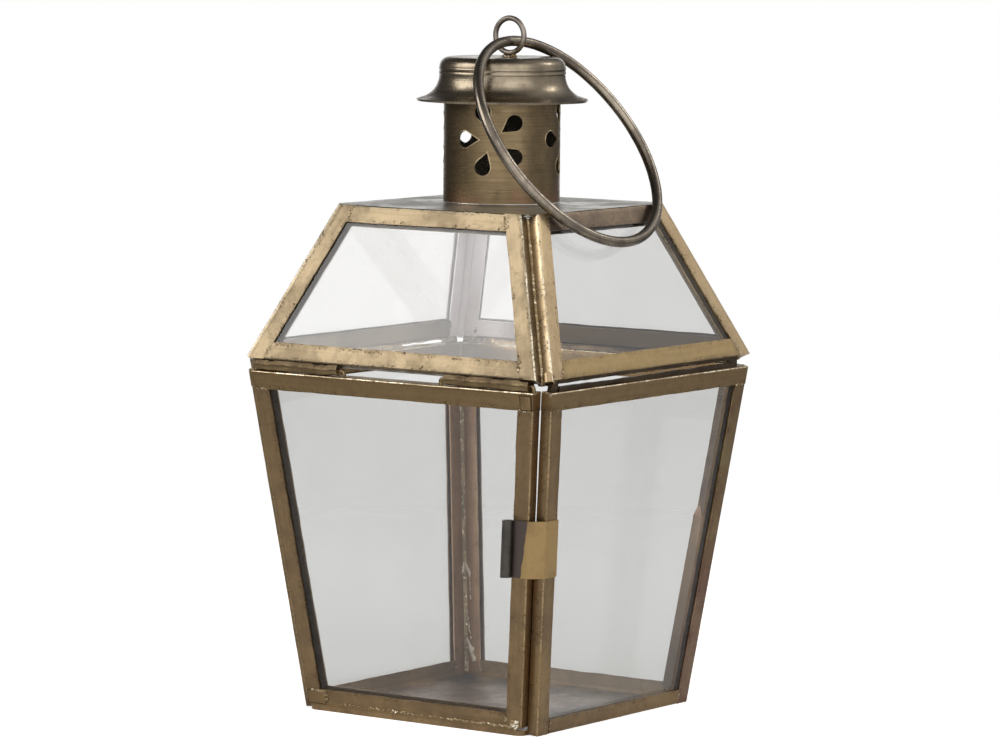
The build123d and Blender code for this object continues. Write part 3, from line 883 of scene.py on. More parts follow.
def joint_crumbs(name, panes, capped, body):
    """A few crumbs along each joint of a pane's channels, on both faces."""
    bm = bmesh.new()
    faces = (crumb_out, -came_depth - crumb_out)
    joints = product(panes, (-1, 1), (False, True), faces, range(crumbs_per_joint))
    for count, (pane, hand, high, z, crumb) in enumerate(joints, 1):
        seed = Vector((count * 2.3, count * 0.7, 4.1))
        slide = noise.noise(seed * 1.9)
        drift = noise.noise(seed * 2.7)
        if capped and high:
            y = pane.length - came_face + drift * crumb_drift
            x = hand * (pane.half(y) - came_face * (0.5 + 0.6 * slide))
        else:
            y = (foot_face if capped else came_face) * (0.5 + 0.6 * slide)
            y = pane.length - y if high else y
            x = hand * (pane.half(y, came_face) + drift * crumb_drift)
        turn = pane.place.to_3x3().to_4x4() @ Matrix.Rotation(3 * drift, 4, "Z")
        grow = 0.55 + 0.5 * noise.noise(seed * 3.1)
        solder_lump(bm, pane.place @ Vector((x, y, z)), turn, crumb_size * grow, seed)
    finish_piece(bm, name, [solder_dab], body, 180.0)


joint_crumbs("case_joint_crumbs", case_panes.values(), True, "lantern")
joint_crumbs("door_joint_crumbs", [door_pane], True, "door")
joint_crumbs("roof_joint_crumbs", roof_panes.values(), False, "lantern")

pale_bump = 0.15 * MM
smear_out = 0.25 * MM
pale_solder = plain_brass(
    "pale_solder", (1.0, 0.93, 0.8, 1), (0.66, 0.54, 0.4, 1), (0.2, 0.15, 0.1, 1),
    cover=0.45, pitting=0.3, size=2.5, bump=pale_bump, metal=0.25,
)
# Each smear: 1 on the pane or -1 round the corner, from so many millimetres off the corner and
# so high a share of the pane, to the same two values at its end, with its crumbs and their size.
corner_smears = (
    (1, 0.4, 0.345, 2.3, 0.300, 9, 0.62), (-1, 0.4, 0.345, 1.7, 0.305, 8, 0.55),
    (1, 2.3, 0.300, 2.7, 0.230, 10, 0.34), (1, 1.0, 0.190, 2.4, 0.110, 12, 0.42),
    (1, 0.9, 0.105, 3.8, 0.050, 16, 0.85), (1, 0.3, 0.910, 0.3, 0.740, 16, 0.42),
    (1, 0.3, 0.730, 0.3, 0.360, 30, 0.28),
)
bm = bmesh.new()
for pane, neighbour in back_corners:
    for number, (hand, off_start, low_start, off_end, low_end, crumbs, grow) in enumerate(corner_smears):
        sheet = pane if hand > 0 else neighbour
        for step in range(crumbs):
            seed = Vector((step * 1.9, step * 0.8 + number * 3.3, 2.0))
            drift = noise.noise(seed * 2.1)
            share = step / (crumbs - 1)
            y = (low_start + (low_end - low_start) * share + 0.006 * drift) * sheet.length
            off = (off_start + (off_end - off_start) * share + 0.8 * grow * noise.noise(seed * 3.3)) * MM
            spot = sheet.place @ Vector((hand * (sheet.half(y) - off), y, -came_depth - smear_out))
            large = grow * (0.9 + 0.7 * noise.noise(seed * 1.7)) * MM
            turn = sheet.place.to_3x3().to_4x4() @ Matrix.Rotation(drift, 4, "Z")
            solder_lump(bm, spot, turn, (0.8 * large, 1.3 * large, 0.5 * large), seed)
finish_piece(bm, "back_corner_lumps", [pale_solder], "lantern", 180.0)

# Along the door's foot the crumbs lie thicker and paler toward the right, and round the low lap.
door_half = door_pane.half(0)
door_foot_share = 0.97
lap_wide = 7.6 * MM
lap_high = 4.4 * MM
lap_inset = 0.8 * MM
foot_crumbs = 110
heavy_after = 80
pale_after = 84
lap_crumbs = 16
spots = []
for step in range(foot_crumbs):
    drift = Vector((step * 1.37, step * 0.41, 6.2))
    share = min(max((step + 2 * noise.noise(drift * 1.9)) / (foot_crumbs - 1), 0.0), 1.0)
    x = (1 - 1.7 * (1 - share) ** 2.6) * door_half * door_foot_share
    y = 0.3 + 0.7 * noise.noise(drift * 3.1)
    if share > 0.75:
        y += 5.0 * abs(noise.noise(drift * 5.3))
    spots.append((x, y * MM))
for step in range(lap_crumbs):
    share = step / (lap_crumbs - 1)
    x = lap_inset - door_half + lap_wide * min(1.0, share * 1.6)
    spots.append((x, lap_high * min(1.0, 2.66 - 2.66 * share)))
bm = bmesh.new()
for step, (x, y) in enumerate(spots):
    seed = Vector((step * 1.37, step * 0.41, 6.2))
    grow = (1.2 if heavy_after < step < foot_crumbs else 0.8) + 0.8 * noise.noise(seed * 2.3)
    size = (0.9 * grow * MM, 0.5 * grow * MM, 0.4 * grow * MM)
    turn = door_pane.place.to_3x3().to_4x4() @ Matrix.Rotation(1.5 * noise.noise(seed), 4, "Z")
    before = set(bm.faces)
    solder_lump(bm, door_pane.place @ Vector((x, y, crumb_out)), turn, size, seed)
    for face in set(bm.faces) - before:
        face.material_index = 1 if pale_after < step < foot_crumbs and step % 3 == 0 else 0
finish_piece(bm, "door_foot_crumbs", [solder_dab, pale_solder], "door", 180.0)


# Stop ridge: a run of solder up the lower half of the right pane's inside, just behind
# the door's right edge, which shuts against it. It is painted dark, a painted shade in that gap.
def soften(bm, offset):
    """Every edge of a small plate rounded a little."""
    bmesh.ops.bevel(
        bm, geom=bm.edges[:], offset=offset, offset_type="OFFSET", segments=2, profile=0.5,
        affect="EDGES", material=-1,
    )


def edge_bar(pane, low, high, low_sides, high_sides, height, rounding=0.0):
    """A bar inside a pane's left stile. Its sides lie so many millimetres from the edge at each end."""
    bm = bmesh.new()
    bmesh.ops.create_cube(bm, size=1.0)
    for vert in bm.verts:
        y, sides = (high, high_sides) if vert.co.y > 0 else (low, low_sides)
        x = sides[1] if vert.co.x > 0 else sides[0]
        out = 0.0 if vert.co.z > 0 else height
        vert.co = (x * MM - pane.half(y), y, -came_depth - out)
    if rounding:
        soften(bm, rounding)
    bmesh.ops.recalc_face_normals(bm, faces=bm.faces)
    bmesh.ops.transform(bm, matrix=pane.place, verts=bm.verts)
    return bm


ridge_pane = case_panes["right"]
ridge_low = 0.02 * ridge_pane.length
ridge_high = 0.47 * ridge_pane.length
ridge_sides = (0.3, 1.9)
ridge_height = 1.3 * MM
bm = edge_bar(ridge_pane, ridge_low, ridge_high, ridge_sides, ridge_sides, ridge_height)
finish_piece(bm, "stop_ridge", [dark_shade_brass], "lantern")

# Door lip: the rough lower edge of the door's bottom rail, a brass strip cut by hand, which
# hangs down in front of the pan's rim.
lip_line = [(0.7, 0.1), (-0.9, 0.1), (-0.95, -0.25), (0.2, -0.4)]
lip_half = door_foot_share * door_half
bm = bmesh.new()
base = bm.faces.new([bm.verts.new((-lip_half, y * MM, z * MM)) for y, z in lip_line])
draw_out(bm, bmesh.ops.extrude_face_region(bm, geom=[base]), (2 * lip_half, 0, 0))
lengthwise = [edge for edge in bm.edges if edge.calc_length() > door_half]
bmesh.ops.subdivide_edges(bm, edges=lengthwise, cuts=110, use_grid_fill=True)
bmesh.ops.recalc_face_normals(bm, faces=bm.faces)
for vert in bm.verts:
    vert.co.y += 0.14 * noise.noise(vert.co * 260) * MM
    vert.co.z += 0.07 * noise.noise(vert.co * 410) * MM
bmesh.ops.transform(bm, matrix=door_pane.place, verts=bm.verts)
finish_piece(bm, "door_lip", [case_brass], "door", 60.0)

# Corner patch: a thin brass strip soldered inside the back right corner, from the foot to half
# way up, with its tip folded over. It lies on the back pane's left stile and follows its slant.
patch_brass = came_brass(
    "patch_brass", (0.39, 0.245, 0.155, 1), (0.33, 0.2, 0.13, 1), (0.12, 0.08, 0.05, 1),
    (0.5, 0.36, 0.24, 1), cover=0.5, pitting=0.3, shine=0.5, dirt=0.9,
)
patch_pane = case_panes["back"]
patch_foot = 4 * MM
patch_top = 0.547 * patch_pane.length
patch_sheet = 0.3 * MM
patch_rounding = 0.08 * MM
tip_foot = patch_top - 0.6 * MM
tip_top = patch_top + 3.4 * MM
tip_sheet = 0.5 * MM
bm = edge_bar(patch_pane, patch_foot, patch_top, (1.2, 8.8), (1.2, 8.7), patch_sheet, patch_rounding)
finish_piece(bm, "corner_patch", [shade_brass], "lantern")
bm = edge_bar(patch_pane, tip_foot, tip_top, (4.8, 8.9), (6.3, 7.5), tip_sheet, patch_rounding)
finish_piece(bm, "corner_patch_tip", [patch_brass], "lantern")

# Door laps: at two corners of the door a strip's end is folded over its neighbour and pressed
# flat. A dark plate, a little larger, lies under each as a painted shadow round it.
lap_sheet = 0.5 * MM
lap_level = 0.2 * MM
lap_rounding = 0.12 * MM
lap_shadow_edge = 0.6 * MM
lap_shadow_sheet = 0.4 * MM
lap_shadow_level = 0.1 * MM
high_lap = (4.2 * MM, 4.6 * MM)
high_lap_x = door_pane.half(door_pane.length) - 3.4 * MM
high_lap_y = door_pane.length - 3.6 * MM
for name, x, y, wide, high in (
    ("door_lap_low", lap_inset + lap_wide / 2 - door_half, lap_high / 2, lap_wide, lap_high),
    ("door_lap_high", high_lap_x, high_lap_y, *high_lap),
):
    # The second, larger dark plate is the painted shadow.
    for shadowed in (False, True):
        edge = lap_shadow_edge if shadowed else 0.0
        sheet = lap_shadow_sheet if shadowed else lap_sheet
        lap_place = Matrix.Translation((x, y, lap_shadow_level if shadowed else lap_level))
        bm = bmesh.new()
        bmesh.ops.create_cube(bm, size=1.0)
        bmesh.ops.scale(bm, vec=(wide + edge, high + edge, sheet), verts=bm.verts)
        if not shadowed:
            soften(bm, lap_rounding)
        bmesh.ops.transform(bm, matrix=door_pane.place @ lap_place, verts=bm.verts)
        finish_piece(
            bm, name + "_shadow" * shadowed, [dark_shade_brass if shadowed else case_brass], "door"
        )

# Hinge: two tubes rolled from brass strip and soldered under the front eave, lumpy with it,
# and staples of brass wire through them that carry the door.
hinge_axis = Vector((0, -63.7802, 122.3641)) * MM
hinge_brass, tree, shader, aged = start_brass(
    "hinge_brass", (0.27, 0.195, 0.10, 1), (0.16, 0.112, 0.06, 1), (0.05, 0.034, 0.022, 1),
    cover=0.5, pitting=0.3, size=2.2,
)
# Painted shade: the tubes and wires darken above the hinge's axis, under the eave.
height = measures(tree, place_of(tree))["Z"]
eave_shade_start = hinge_axis.z - 0.2 * MM
eave_shade_end = hinge_axis.z + 0.9 * MM
grime_and_shade = spread(tree, height, eave_shade_start, eave_shade_end, 0.0, 0.85)
tree.links.new(tint(tree, grime_and_shade, aged["Color"], (0.065, 0.046, 0.028, 1)), shader.inputs["Base Color"])
raise_marks(tree, shader, aged["Height"], sheet_bump)
hinge_radius = 1.5 * MM
hinge_bore = 0.75 * MM
inward, up_slope = (roof_panes["front"].place.to_3x3() @ Vector(way) for way in ((0, 0, -1), (0, 1, 0)))
tube_turns = 28
for hand in ("left", "right"):
    tube_low, tube_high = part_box("hinge_tube_" + hand)
    bm = bmesh.new()
    rows = ([], [])
    for step in range(tube_turns):
        turn = 2 * math.pi * step / tube_turns
        sideways, rise = math.cos(turn), math.sin(turn)
        web = min(1 / max(rise, 0.01), 1 / (abs(sideways) + 0.07 * abs(rise))) if rise > 0 else 1.0
        for row, reach in zip(rows, (hinge_bore, hinge_radius * max(1.0, web))):
            spot = hinge_axis + (inward * sideways + up_slope * rise) * reach
            row.append(bm.verts.new((tube_low.x, spot.y, spot.z)))
    for step in range(tube_turns):
        after = (step + 1) % tube_turns
        bm.faces.new((rows[0][step], rows[1][step], rows[1][after], rows[0][after]))
    draw_out(bm, bmesh.ops.extrude_face_region(bm, geom=bm.faces[:]), (tube_high.x - tube_low.x, 0, 0))
    lengthwise = [edge for edge in bm.edges if abs(edge.verts[0].co.x - edge.verts[1].co.x) > 5 * MM]
    bmesh.ops.subdivide_edges(bm, edges=lengthwise, cuts=50, use_grid_fill=True)
    bmesh.ops.recalc_face_normals(bm, faces=bm.faces)
    for vert in bm.verts:
        away = vert.co - hinge_axis
        away.x = 0
        if away.length > hinge_bore * 1.2 and away.dot(up_slope) < hinge_radius * 0.9:
            lump = 0.28 * noise.noise(vert.co * 300) + 0.16 * noise.noise(vert.co * 900)
            vert.co += away.normalized() * (lump + 0.36) * MM
    tube = finish_piece(bm, "hinge_roll_" + hand, [hinge_brass], "lantern", 60.0)
    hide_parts("hinge_tube_" + hand)
    finish_node("hinge_wire_" + hand, hinge_brass)

# Crown plate: a square of grey-brown brass sheet, soldered on to close the roof. The chimney's
# collar stands on it, a ring of the same sheet worked to a hollow curve.
plate_brass = plain_brass(
    "plate_brass", (0.52, 0.51, 0.455, 1), (0.38, 0.36, 0.31, 1), (0.10, 0.085, 0.065, 1),
    cover=0.5, pitting=0.4,
)
finish_node("crown_plate", plate_brass)
collar_low, collar_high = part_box("chimney_collar")
collar_inside = 20.5 * MM
collar_rise = collar_high.z - collar_low.z
collar_steps = 8


def spin_line(bm, line, steps):
    """A line of reaches and levels spun once round the lantern's upright axis."""
    spots = [bm.verts.new((reach, 0, level)) for reach, level in line]
    edges = [bm.edges.new(pair) for pair in zip(spots, spots[1:])]
    bmesh.ops.spin(
        bm, geom=spots + edges, cent=(0, 0, 0), axis=(0, 0, 1), angle=2 * math.pi, steps=steps,
        use_merge=True,
    )


bm = bmesh.new()
collar_line = [(collar_inside, collar_low.z)]
for step in range(collar_steps, -1, -1):
    turn = math.pi / 2 * step / collar_steps
    collar_line.append((
        collar_high.x - (collar_high.x - collar_inside) * math.sin(turn),
        collar_high.z - collar_rise * math.cos(turn),
    ))
spin_line(bm, collar_line, 72)
bmesh.ops.recalc_face_normals(bm, faces=bm.faces)
collar = finish_piece(bm, "collar_fillet", [plate_brass], "lantern", 60.0)
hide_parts("chimney_collar")

# Chimney: a tube of brushed brass with the brush lines running round it, pierced with flowers
# of five drops and painted dark inside, a painted shade. The punch left a thin lip round every hole,
# in a paler brass that is a painted highlight.
tube_radius = 20.5 * MM
tube_rise = 36.8 * MM
brim_level = crown_level + tube_rise
bloom_top = crown_level + 15 * MM
bloom_foot = crown_level + 2 * MM
inside_shade_start = tube_radius - 0.2 * MM
inside_shade_end = tube_radius - 0.6 * MM
brush_bump = 0.06 * MM
chimney_brass, tree, shader, aged = start_brass(
    "chimney_brass", (0.225, 0.165, 0.09, 1), (0.135, 0.098, 0.058, 1), (0.06, 0.042, 0.028, 1),
    cover=0.4, pitting=0.1, size=0.8,
)
place = place_of(tree)
lines = add_node(tree, "Mapping", None, {"Vector": place, "Scale": (45.0, 45.0, 1900.0)}).outputs[0]
brush = grain(tree, lines, 1.0, 4.0, 0.65)
colour = tint(tree, spread(tree, brush, 0.35, 0.7, 0.0, 0.5), aged["Color"], (0.10, 0.072, 0.042, 1))
flat = add_node(tree, "VectorMath", {"operation": "MULTIPLY"}, {0: place, 1: (1, 1, 0)}).outputs[0]
reach = add_node(tree, "VectorMath", {"operation": "LENGTH"}, {0: flat}).outputs["Value"]
height = measures(tree, place)["Z"]
bloom = spread(tree, height, bloom_top, bloom_foot, 0.0, 0.6)
bloom = times(tree, bloom, spread(tree, grain(tree, place, 60.0), 0.4, 0.6))
colour = tint(tree, bloom, colour, (0.24, 0.13, 0.085, 1))
# Painted shade: darker inside the tube.
inside_shade = spread(tree, reach, inside_shade_start, inside_shade_end)
colour = tint(tree, inside_shade, colour, (0.10, 0.088, 0.068, 1))
tree.links.new(colour, shader.inputs["Base Color"])
rough = plus(tree, aged["Roughness"], spread(tree, brush, 0.3, 0.7, -0.04, 0.1))
tree.links.new(plus(tree, rough, times(tree, inside_shade, 0.4)), shader.inputs["Roughness"])
raise_marks(tree, shader, brush, brush_bump)
finish_node("chimney_tube", chimney_brass)

flower_turns = (-65.0, 30.0, 194.0)
flower_drop = 13.5 * MM
flower_level = brim_level - flower_drop
petal_count = 5
petal_radius = 2.85 * MM
petal_tip = 5.45 * MM
petal_gap = 4.7 * MM
petal_reach = petal_gap + petal_tip
# The lips' paler brass is a painted highlight.
lip_brass = plain_brass(
    "lip_brass", (0.42, 0.33, 0.2, 1), (0.24, 0.18, 0.11, 1), (0.06, 0.045, 0.03, 1),
    cover=0.35, pitting=0.1, size=2.0,
)
bm = bmesh.new()
opening = math.acos(-petal_radius / petal_tip)
petal_line = [(-petal_tip, 0.0)] + [
    (petal_radius * math.cos(turn), petal_radius * math.sin(turn))
    for turn in (opening * (step / 12 - 1) for step in range(25))
]
for flower_turn in flower_turns:
    for petal in range(petal_count):
        aim = math.pi + petal * 2 * math.pi / petal_count
        around = math.radians(flower_turn) + petal_reach * math.cos(aim) / tube_radius
        level = flower_level + petal_reach * math.sin(aim)
        rows = []
        for grow, rise in ((0.0, -0.3), (0.03, 0.12), (0.10, 0.12), (0.16, -0.1)):
            row = []
            for x, y in petal_line:
                x, y = x * (1 + grow), y * (1 + grow)
                wide = x * math.cos(aim) - y * math.sin(aim)
                turn = around + math.asin(wide / tube_radius)
                out = tube_radius + rise * MM
                height = level + x * math.sin(aim) + y * math.cos(aim)
                row.append(bm.verts.new((out * math.cos(turn), out * math.sin(turn), height)))
            rows.append(row)
        for first, second in zip(rows, rows[1:]):
            for step in range(len(petal_line)):
                after = (step + 1) % len(petal_line)
                bm.faces.new((first[step], first[after], second[after], second[step]))
bmesh.ops.recalc_face_normals(bm, faces=bm.faces)
finish_piece(bm, "petal_lips", [lip_brass], "lantern", 60.0)

# Cap: a brass shell spun on a lathe, with a rounded shoulder, two fine turned lines and a flared
# brim that is a little out of true. It closes the chimney and is soldered on its tube.
cap_brass, tree, shader, aged = start_brass(
    "cap_brass", (0.285, 0.235, 0.17, 1), (0.17, 0.138, 0.098, 1), (0.06, 0.045, 0.032, 1),
    cover=0.45, pitting=0.15, size=1.1,
)
place = place_of(tree)
lines = add_node(tree, "Mapping", None, {"Vector": place, "Scale": (30.0, 30.0, 1300.0)}).outputs[0]
turned = grain(tree, lines, 1.0, 4.0, 0.65)
rough = less(tree, aged["Roughness"], 0.13)
rough = plus(tree, rough, spread(tree, turned, 0.35, 0.65, 0.0, 0.1))
tree.links.new(rough, shader.inputs["Roughness"])
turned_bump = 0.05 * MM
raise_marks(tree, shader, turned, turned_bump)
cap_rise = 14.7 * MM
cap_level = brim_level + cap_rise
cap_radius = 22.2 * MM
cap_sheet = 0.8 * MM
shoulder_round = 3.5 * MM
flare_round = 8.0 * MM
flare_turn = math.radians(72.0)
brim_reach = 8.0 * MM
brim_wander = 0.35 * MM
brim_run = (brim_reach - flare_round * (1 - math.cos(flare_turn))) / math.sin(flare_turn)
flare_level = brim_level + flare_round * math.sin(flare_turn) + brim_run * math.cos(flare_turn)
brim_radius = cap_radius + brim_reach
turned_lines = (4.0 * MM, 5.6 * MM)
line_height = 0.16 * MM
line_half = 0.4 * MM
cap_line = [(0.0, cap_level), (cap_radius - shoulder_round, cap_level)]
for step in range(1, 9):
    turn = math.pi / 2 * (1 - step / 8)
    cap_line.append((
        cap_radius - shoulder_round * (1 - math.cos(turn)),
        cap_level - shoulder_round * (1 - math.sin(turn)),
    ))
for drop in turned_lines:
    for shift, rise in ((-1.0, 0.0), (-0.4, 0.9), (0.0, 1.0), (0.4, 0.9), (1.0, 0.0)):
        cap_line.append((cap_radius + rise * line_height, cap_level - drop - shift * line_half))
for step in range(11):
    turn = flare_turn * step / 10
    cap_line.append((
        cap_radius + flare_round * (1 - math.cos(turn)), flare_level - flare_round * math.sin(turn),
    ))
cap_line.append((brim_radius, brim_level))
bm = bmesh.new()
spin_line(bm, cap_line, 96)
bmesh.ops.remove_doubles(bm, verts=bm.verts, dist=weld_reach)
bmesh.ops.recalc_face_normals(bm, faces=bm.faces)
if max(bm.verts, key=lambda vert: vert.co.z).normal.z < 0:
    bmesh.ops.reverse_faces(bm, faces=bm.faces)
bmesh.ops.solidify(bm, geom=bm.faces[:], thickness=cap_sheet)
for vert in bm.verts:
    way = Vector((vert.co.x, vert.co.y, 0))
    if way.length > cap_radius * 1.1:
        vert.co.z += brim_wander * noise.noise(way * 40) * (way.length - cap_radius) / brim_reach
cap = finish_piece(bm, "cap_shell", [cap_brass], "lantern", 50.0)
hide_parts("chimney_cap")

# Eyelet: a loop of brass wire that stands up from the cap, greyed by handling. A few lumps of
# solder hold its foot.
eyelet_brass = plain_brass(
    "eyelet_brass", (0.33, 0.29, 0.24, 1), (0.19, 0.165, 0.14, 1), (0.05, 0.04, 0.03, 1),
    cover=0.5, pitting=0.3, size=1.5,
)
eyelet_middle = Vector((3.0 * MM, 0, cap_level + 7.6 * MM))
eyelet_radius = 6.05 * MM
eyelet_wire = 1.9 * MM
eyelet_uneven = 0.06 * MM


def wire_hoop(name, middle, spoke, axis, radius, wire, steps, uneven, material, body):
    """A hoop of round wire: one round section spun about the hoop's axis, a little out of true."""
    bm = bmesh.new()
    ring = bmesh.ops.create_circle(bm, segments=20, radius=wire / 2)["verts"]
    side = Vector(axis).cross(spoke)
    stand = Matrix((spoke, axis, -side)).transposed().to_4x4()
    bmesh.ops.transform(bm, matrix=Matrix.Translation(middle + spoke * radius) @ stand, verts=ring)
    bmesh.ops.spin(
        bm, geom=bm.verts[:] + bm.edges[:], cent=middle, axis=axis, angle=2 * math.pi, steps=steps,
        use_merge=True,
    )
    bmesh.ops.recalc_face_normals(bm, faces=bm.faces)
    for vert in bm.verts:
        away = (vert.co - middle).normalized()
        vert.co += away * noise.noise(away * 2.1) * uneven
        vert.co += vert.normal * noise.noise(vert.co * 500) * wire * 0.012
    return finish_piece(bm, name, [material], body, 180.0)


eyelet = wire_hoop(
    "eyelet_loop", eyelet_middle, Vector((0, 0, 1)), Vector((0, 1, 0)), eyelet_radius, eyelet_wire, 56,
    eyelet_uneven, eyelet_brass, "lantern",
)
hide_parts("cap_eyelet")
bm = bmesh.new()
for x, y, lift, wide, high in (
    (0.0, 0.0, 0.1, 3.0, 0.35), (-2.0, 0.1, 0.4, 1.1, 0.6),
    (2.1, -0.1, 0.5, 1.2, 0.7), (0.2, -0.5, 0.3, 1.3, 0.5),
):
    spot = eyelet_middle + Vector((x * MM, y * MM, 0))
    spot.z = cap_level + lift * MM
    solder_lump(bm, spot, Matrix(), (wide * MM, wide * 0.7 * MM, high * MM), Vector((x, 3 + y, 7)))
eyelet_dabs = finish_piece(bm, "eyelet_dabs", [solder_dab], "lantern", 180.0)
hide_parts("eyelet_solder")

# Ring: thick brass wire bent to a hoop and closed through the eyelet, in which it swings.
# It has browned all over.
ring_brass, tree, shader, aged = start_brass(
    "ring_brass", (0.27, 0.23, 0.18, 1), (0.145, 0.12, 0.098, 1), (0.045, 0.035, 0.028, 1),
    cover=0.5, pitting=0.25, size=1.2,
)
tree.links.new(less(tree, aged["Roughness"], 0.1), shader.inputs["Roughness"])
raise_marks(tree, shader, aged["Height"], sheet_bump)
ring_pivot = eyelet_middle + Vector((1.0, 0, -1.9)) * MM
ring_lean = math.radians(35.7979)
ring_radius = 42.0 * MM
ring_wire = 3.7 * MM
ring_uneven = 0.12 * MM
hang_way = Vector((math.sin(ring_lean), 0, -math.cos(ring_lean)))
ring = wire_hoop(
    "ring_hoop", ring_pivot + hang_way * ring_radius, -hang_way, hang_way.cross(Vector((0, 1, 0))),
    ring_radius, ring_wire, 144, ring_uneven, ring_brass, "ring",
)
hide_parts("handle_ring")

# Clasp: a springy strip soldered to the right pane, bent across the corner and over the door's
# edge, where its end is rolled. The end and the bend beside it are painted dark, a painted shade
# where the strip turns away from the light.
clasp_shaded = plain_brass(
    "clasp_shaded", (0.135, 0.125, 0.112, 1), (0.085, 0.078, 0.07, 1), (0.03, 0.027, 0.024, 1),
    cover=0.5, pitting=0.2, size=1.2,
)
clasp_faded, tree, shader, aged = start_brass(
    "clasp_faded", (0.46, 0.31, 0.14, 1), (0.33, 0.222, 0.108, 1), (0.06, 0.04, 0.02, 1),
    cover=0.3, pitting=0.3,
)
# Painted shade: a dark band on the bend before the rolled end.
sheet_spot = measures(tree, add_node(tree, "UVMap", {"uv_map": "sheet"}).outputs["UV"])
ragged = spread(tree, grain(tree, place_of(tree), 300.0, 4.0, 0.6), 0.2, 0.8, -0.02, 0.02)
sockets = {0: sheet_spot["Y"], 1: 0.2, 2: sheet_spot["X"]}
line = add_node(tree, "Math", {"operation": "MULTIPLY_ADD"}, sockets).outputs[0]
line = add_node(tree, "Math", {"operation": "ADD"}, {0: line, 1: ragged}).outputs[0]
bend_shade = spread(tree, line, 0.63, 0.67)
colour = tint(tree, bend_shade, aged["Color"], (0.125, 0.10, 0.09, 1))
tree.links.new(colour, shader.inputs["Base Color"])
tree.links.new(plus(tree, aged["Roughness"], times(tree, bend_shade, 0.1)), shader.inputs["Roughness"])
clasp_bump = 0.03 * MM
raise_marks(tree, shader, aged["Height"], clasp_bump)
clasp_corner = Vector((57.1486, -57.1486, 56.0)) * MM
clasp_height = 20.0 * MM
clasp_sheet = 0.6 * MM
clasp_foot_end = 10.268 * MM
clasp_foot_start = 3.668 * MM
clasp_front_start = -4.268 * MM
clasp_front_end = -11.768 * MM
clasp_skin = -0.3 * MM
clasp_roll = 1.9 * MM
clasp_roll_steps = 21
clasp_roll_turn = 15
clasp_bend_round = 0.43 * MM
clasp_shade_skin = -0.95 * MM
clasp_shade_end = -11.9 * MM
clasp_map_width = 10.0 * MM
clasp_line = [
    (0, clasp_foot_end), (0, clasp_foot_start),
    (clasp_front_start, clasp_skin), (clasp_front_end, clasp_skin),
]
clasp_lean = clasp_height * math.tan(case_panes["right"].lean)
rise = Vector((clasp_lean, -clasp_lean, clasp_height))
for step in range(1, clasp_roll_steps + 1):
    turn = math.radians(90 + step * clasp_roll_turn)
    clasp_line.append((
        clasp_front_end + clasp_roll * math.cos(turn),
        clasp_skin - clasp_roll + clasp_roll * math.sin(turn),
    ))
bm = bmesh.new()
spots = [bm.verts.new(clasp_corner + Vector((x, y, 0))) for x, y in clasp_line]
edges = [bm.edges.new(pair) for pair in zip(spots, spots[1:])]
draw_out(bm, bmesh.ops.extrude_edge_only(bm, edges=edges), rise)
bends = [
    edge for edge in bm.edges
    if len(edge.link_faces) == 2 and edge.calc_face_angle() > math.radians(30)
]
bmesh.ops.bevel(
    bm, geom=bends, offset=clasp_bend_round, offset_type="OFFSET", segments=4, profile=0.5,
    affect="EDGES", material=-1,
)
bmesh.ops.recalc_face_normals(bm, faces=bm.faces)
soldered_face = max(bm.faces, key=lambda face: face.calc_center_median().y)
if soldered_face.normal.x > 0:
    bmesh.ops.reverse_faces(bm, faces=bm.faces)
upright = [edge for edge in bm.edges if abs(edge.verts[0].co.z - edge.verts[1].co.z) > clasp_height / 2]
bmesh.ops.subdivide_edges(bm, edges=upright, cuts=16, use_grid_fill=True)
bmesh.ops.solidify(bm, geom=bm.faces[:], thickness=clasp_sheet)
sheet_map = bm.loops.layers.uv.new("sheet")
for face in bm.faces:
    middle = face.calc_center_median() - clasp_corner
    middle -= rise * (middle.z / clasp_height)
    face.material_index = 1 if middle.y < clasp_shade_skin or middle.x < clasp_shade_end else 0
    for loop in face.loops:
        spot = loop.vert.co - clasp_corner
        up_share = spot.z / clasp_height
        spot -= rise * up_share
        loop[sheet_map].uv = (-spot.x / clasp_map_width, up_share)
clasp = finish_piece(bm, "clasp_strip", [clasp_faded, clasp_shaded], None, 40.0)
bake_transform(clasp)
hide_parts("door_clasp")

# Studio: a white floor that fades out, a soft lamp high on the left and a weaker one behind on
# the right, and white all round, so that the glass has something pale to show.
floor_reach = 0.7
bm = bmesh.new()
bmesh.ops.create_grid(bm, x_segments=1, y_segments=1, size=floor_reach)
floor_mesh = bpy.data.meshes.new("studio_floor")
bm.to_mesh(floor_mesh)
bm.free()
studio_floor = bpy.data.objects.new("studio_floor", floor_mesh)
bpy.context.scene.collection.objects.link(studio_floor)
studio_floor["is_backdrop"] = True
floor_paint, tree, shader, place = start_finish("floor_paint")
shader.inputs["Base Color"].default_value = (0.82, 0.82, 0.82, 1)
shader.inputs["Roughness"].default_value = 0.9
shader.inputs["Specular IOR Level"].default_value = 0.0
shader.inputs["Emission Color"].default_value = (1, 1, 1, 1)
rays = tree.nodes.new("ShaderNodeLightPath").outputs
seen = times(tree, rays["Is Camera Ray"], 0.6)
seen = plus(tree, seen, times(tree, rays["Is Transmission Ray"], 0.43))
tree.links.new(seen, shader.inputs["Emission Strength"])
away = add_node(tree, "VectorMath", {"operation": "LENGTH"}, {0: place}).outputs["Value"]
fade = spread(tree, away, floor_reach * 0.4, floor_reach)
clear = tree.nodes.new("ShaderNodeBsdfTransparent").outputs[0]
faded = add_node(tree, "MixShader", None, {0: fade, 1: shader.outputs["BSDF"], 2: clear})
tree.links.new(faded.outputs[0], tree.nodes["Material Output"].inputs["Surface"])
studio_floor.data.materials.append(floor_paint)

lamp_aim = Vector((0, 0, 0.14))


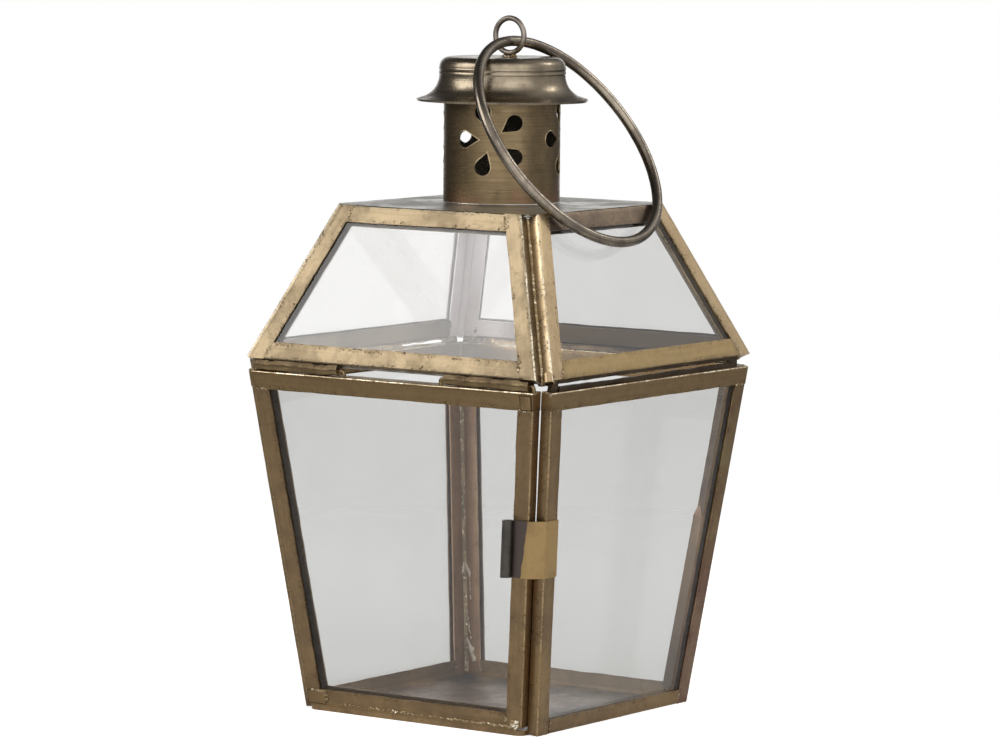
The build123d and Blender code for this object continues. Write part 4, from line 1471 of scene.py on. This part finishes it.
def lamp(name, towards, distance, size, power, colour):
    """A square soft lamp aimed at the middle of the lantern."""
    data = bpy.data.lights.new(name, "AREA")
    data.size = size
    data.energy = power
    data.color = colour
    piece = bpy.data.objects.new(name, data)
    bpy.context.scene.collection.objects.link(piece)
    way = Vector(towards).normalized()
    piece.location = lamp_aim + way * distance
    piece.rotation_euler = way.to_track_quat("Z", "Y").to_euler()


lamp("key_lamp", (-0.58, -0.63, 0.51), distance=1.5, size=0.95, power=10.0, colour=(1.0, 0.99, 0.98))
lamp("side_lamp", (0.45, 0.66, 0.60), distance=1.6, size=0.35, power=3.0, colour=(1.0, 0.98, 0.95))

camera_turn = math.radians(35.546)
camera_pitch = math.radians(5.806)
camera_roll = math.radians(0.473)
camera_distance = 1.7567
camera_height = 0.2959
world = bpy.data.worlds.new("studio")
bpy.context.scene.world = world
world.use_nodes = True
tree = world.node_tree
backdrop = tree.nodes["Background"]
rays = tree.nodes.new("ShaderNodeLightPath").outputs
direct = plus(tree, rays["Is Camera Ray"], rays["Is Transmission Ray"])
way = tree.nodes.new("ShaderNodeTexCoord").outputs["Generated"]


def facing(towards):
    """How nearly a ray goes that way: 1 where it does, -1 where it goes the opposite way."""
    return add_node(tree, "VectorMath", {"operation": "DOT_PRODUCT"}, {0: way, 1: towards}).outputs["Value"]


# The sums below go above 1, so they are not kept between 0 and 1.
camera_side = facing((math.sin(camera_turn), -math.cos(camera_turn), 0.1))
around = spread(tree, camera_side, 0.3, 0.97, 0.08, 1.5)
horizon = spread(tree, camera_side, -0.88, -0.97, 0.0, 1.3)
around = add_node(tree, "Math", {"operation": "ADD"}, {0: around, 1: horizon}).outputs[0]
for towards, low, high, level in (
    ((0.5, 0.7, 0.55), 0.6, 0.97, 0.5),
    ((0.75, -0.3, 0.6), 0.82, 0.97, 0.8),
    ((0.85, 0.5, 0.05), 0.85, 0.98, 0.35),
):
    glow = spread(tree, facing(tuple(Vector(towards).normalized())), low, high, 0.0, level)
    around = add_node(tree, "Math", {"operation": "ADD"}, {0: around, 1: glow}).outputs[0]
strength = add_node(tree, "Mix", None, {0: direct, 2: around, 3: 1.0}).outputs[0]
tree.links.new(strength, backdrop.inputs["Strength"])
backdrop.inputs["Color"].default_value = (1, 1, 1, 1)

camera_data = bpy.data.cameras.new("camera")
camera_data.sensor_width = 36.0
camera_data.lens = 180.0
camera_data.clip_end = 20.0
camera = bpy.data.objects.new("camera", camera_data)
bpy.context.scene.collection.objects.link(camera)
camera.matrix_world = (
    Matrix.Translation((
        math.sin(camera_turn) * camera_distance, -math.cos(camera_turn) * camera_distance, camera_height
    ))
    @ Matrix.Rotation(camera_turn, 4, "Z")
    @ Matrix.Rotation(math.pi / 2 - camera_pitch, 4, "X")
    @ Matrix.Rotation(camera_roll, 4, "Z")
)
bpy.context.scene.camera = camera
bpy.context.scene.view_settings.view_transform = "Standard"

low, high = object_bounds()
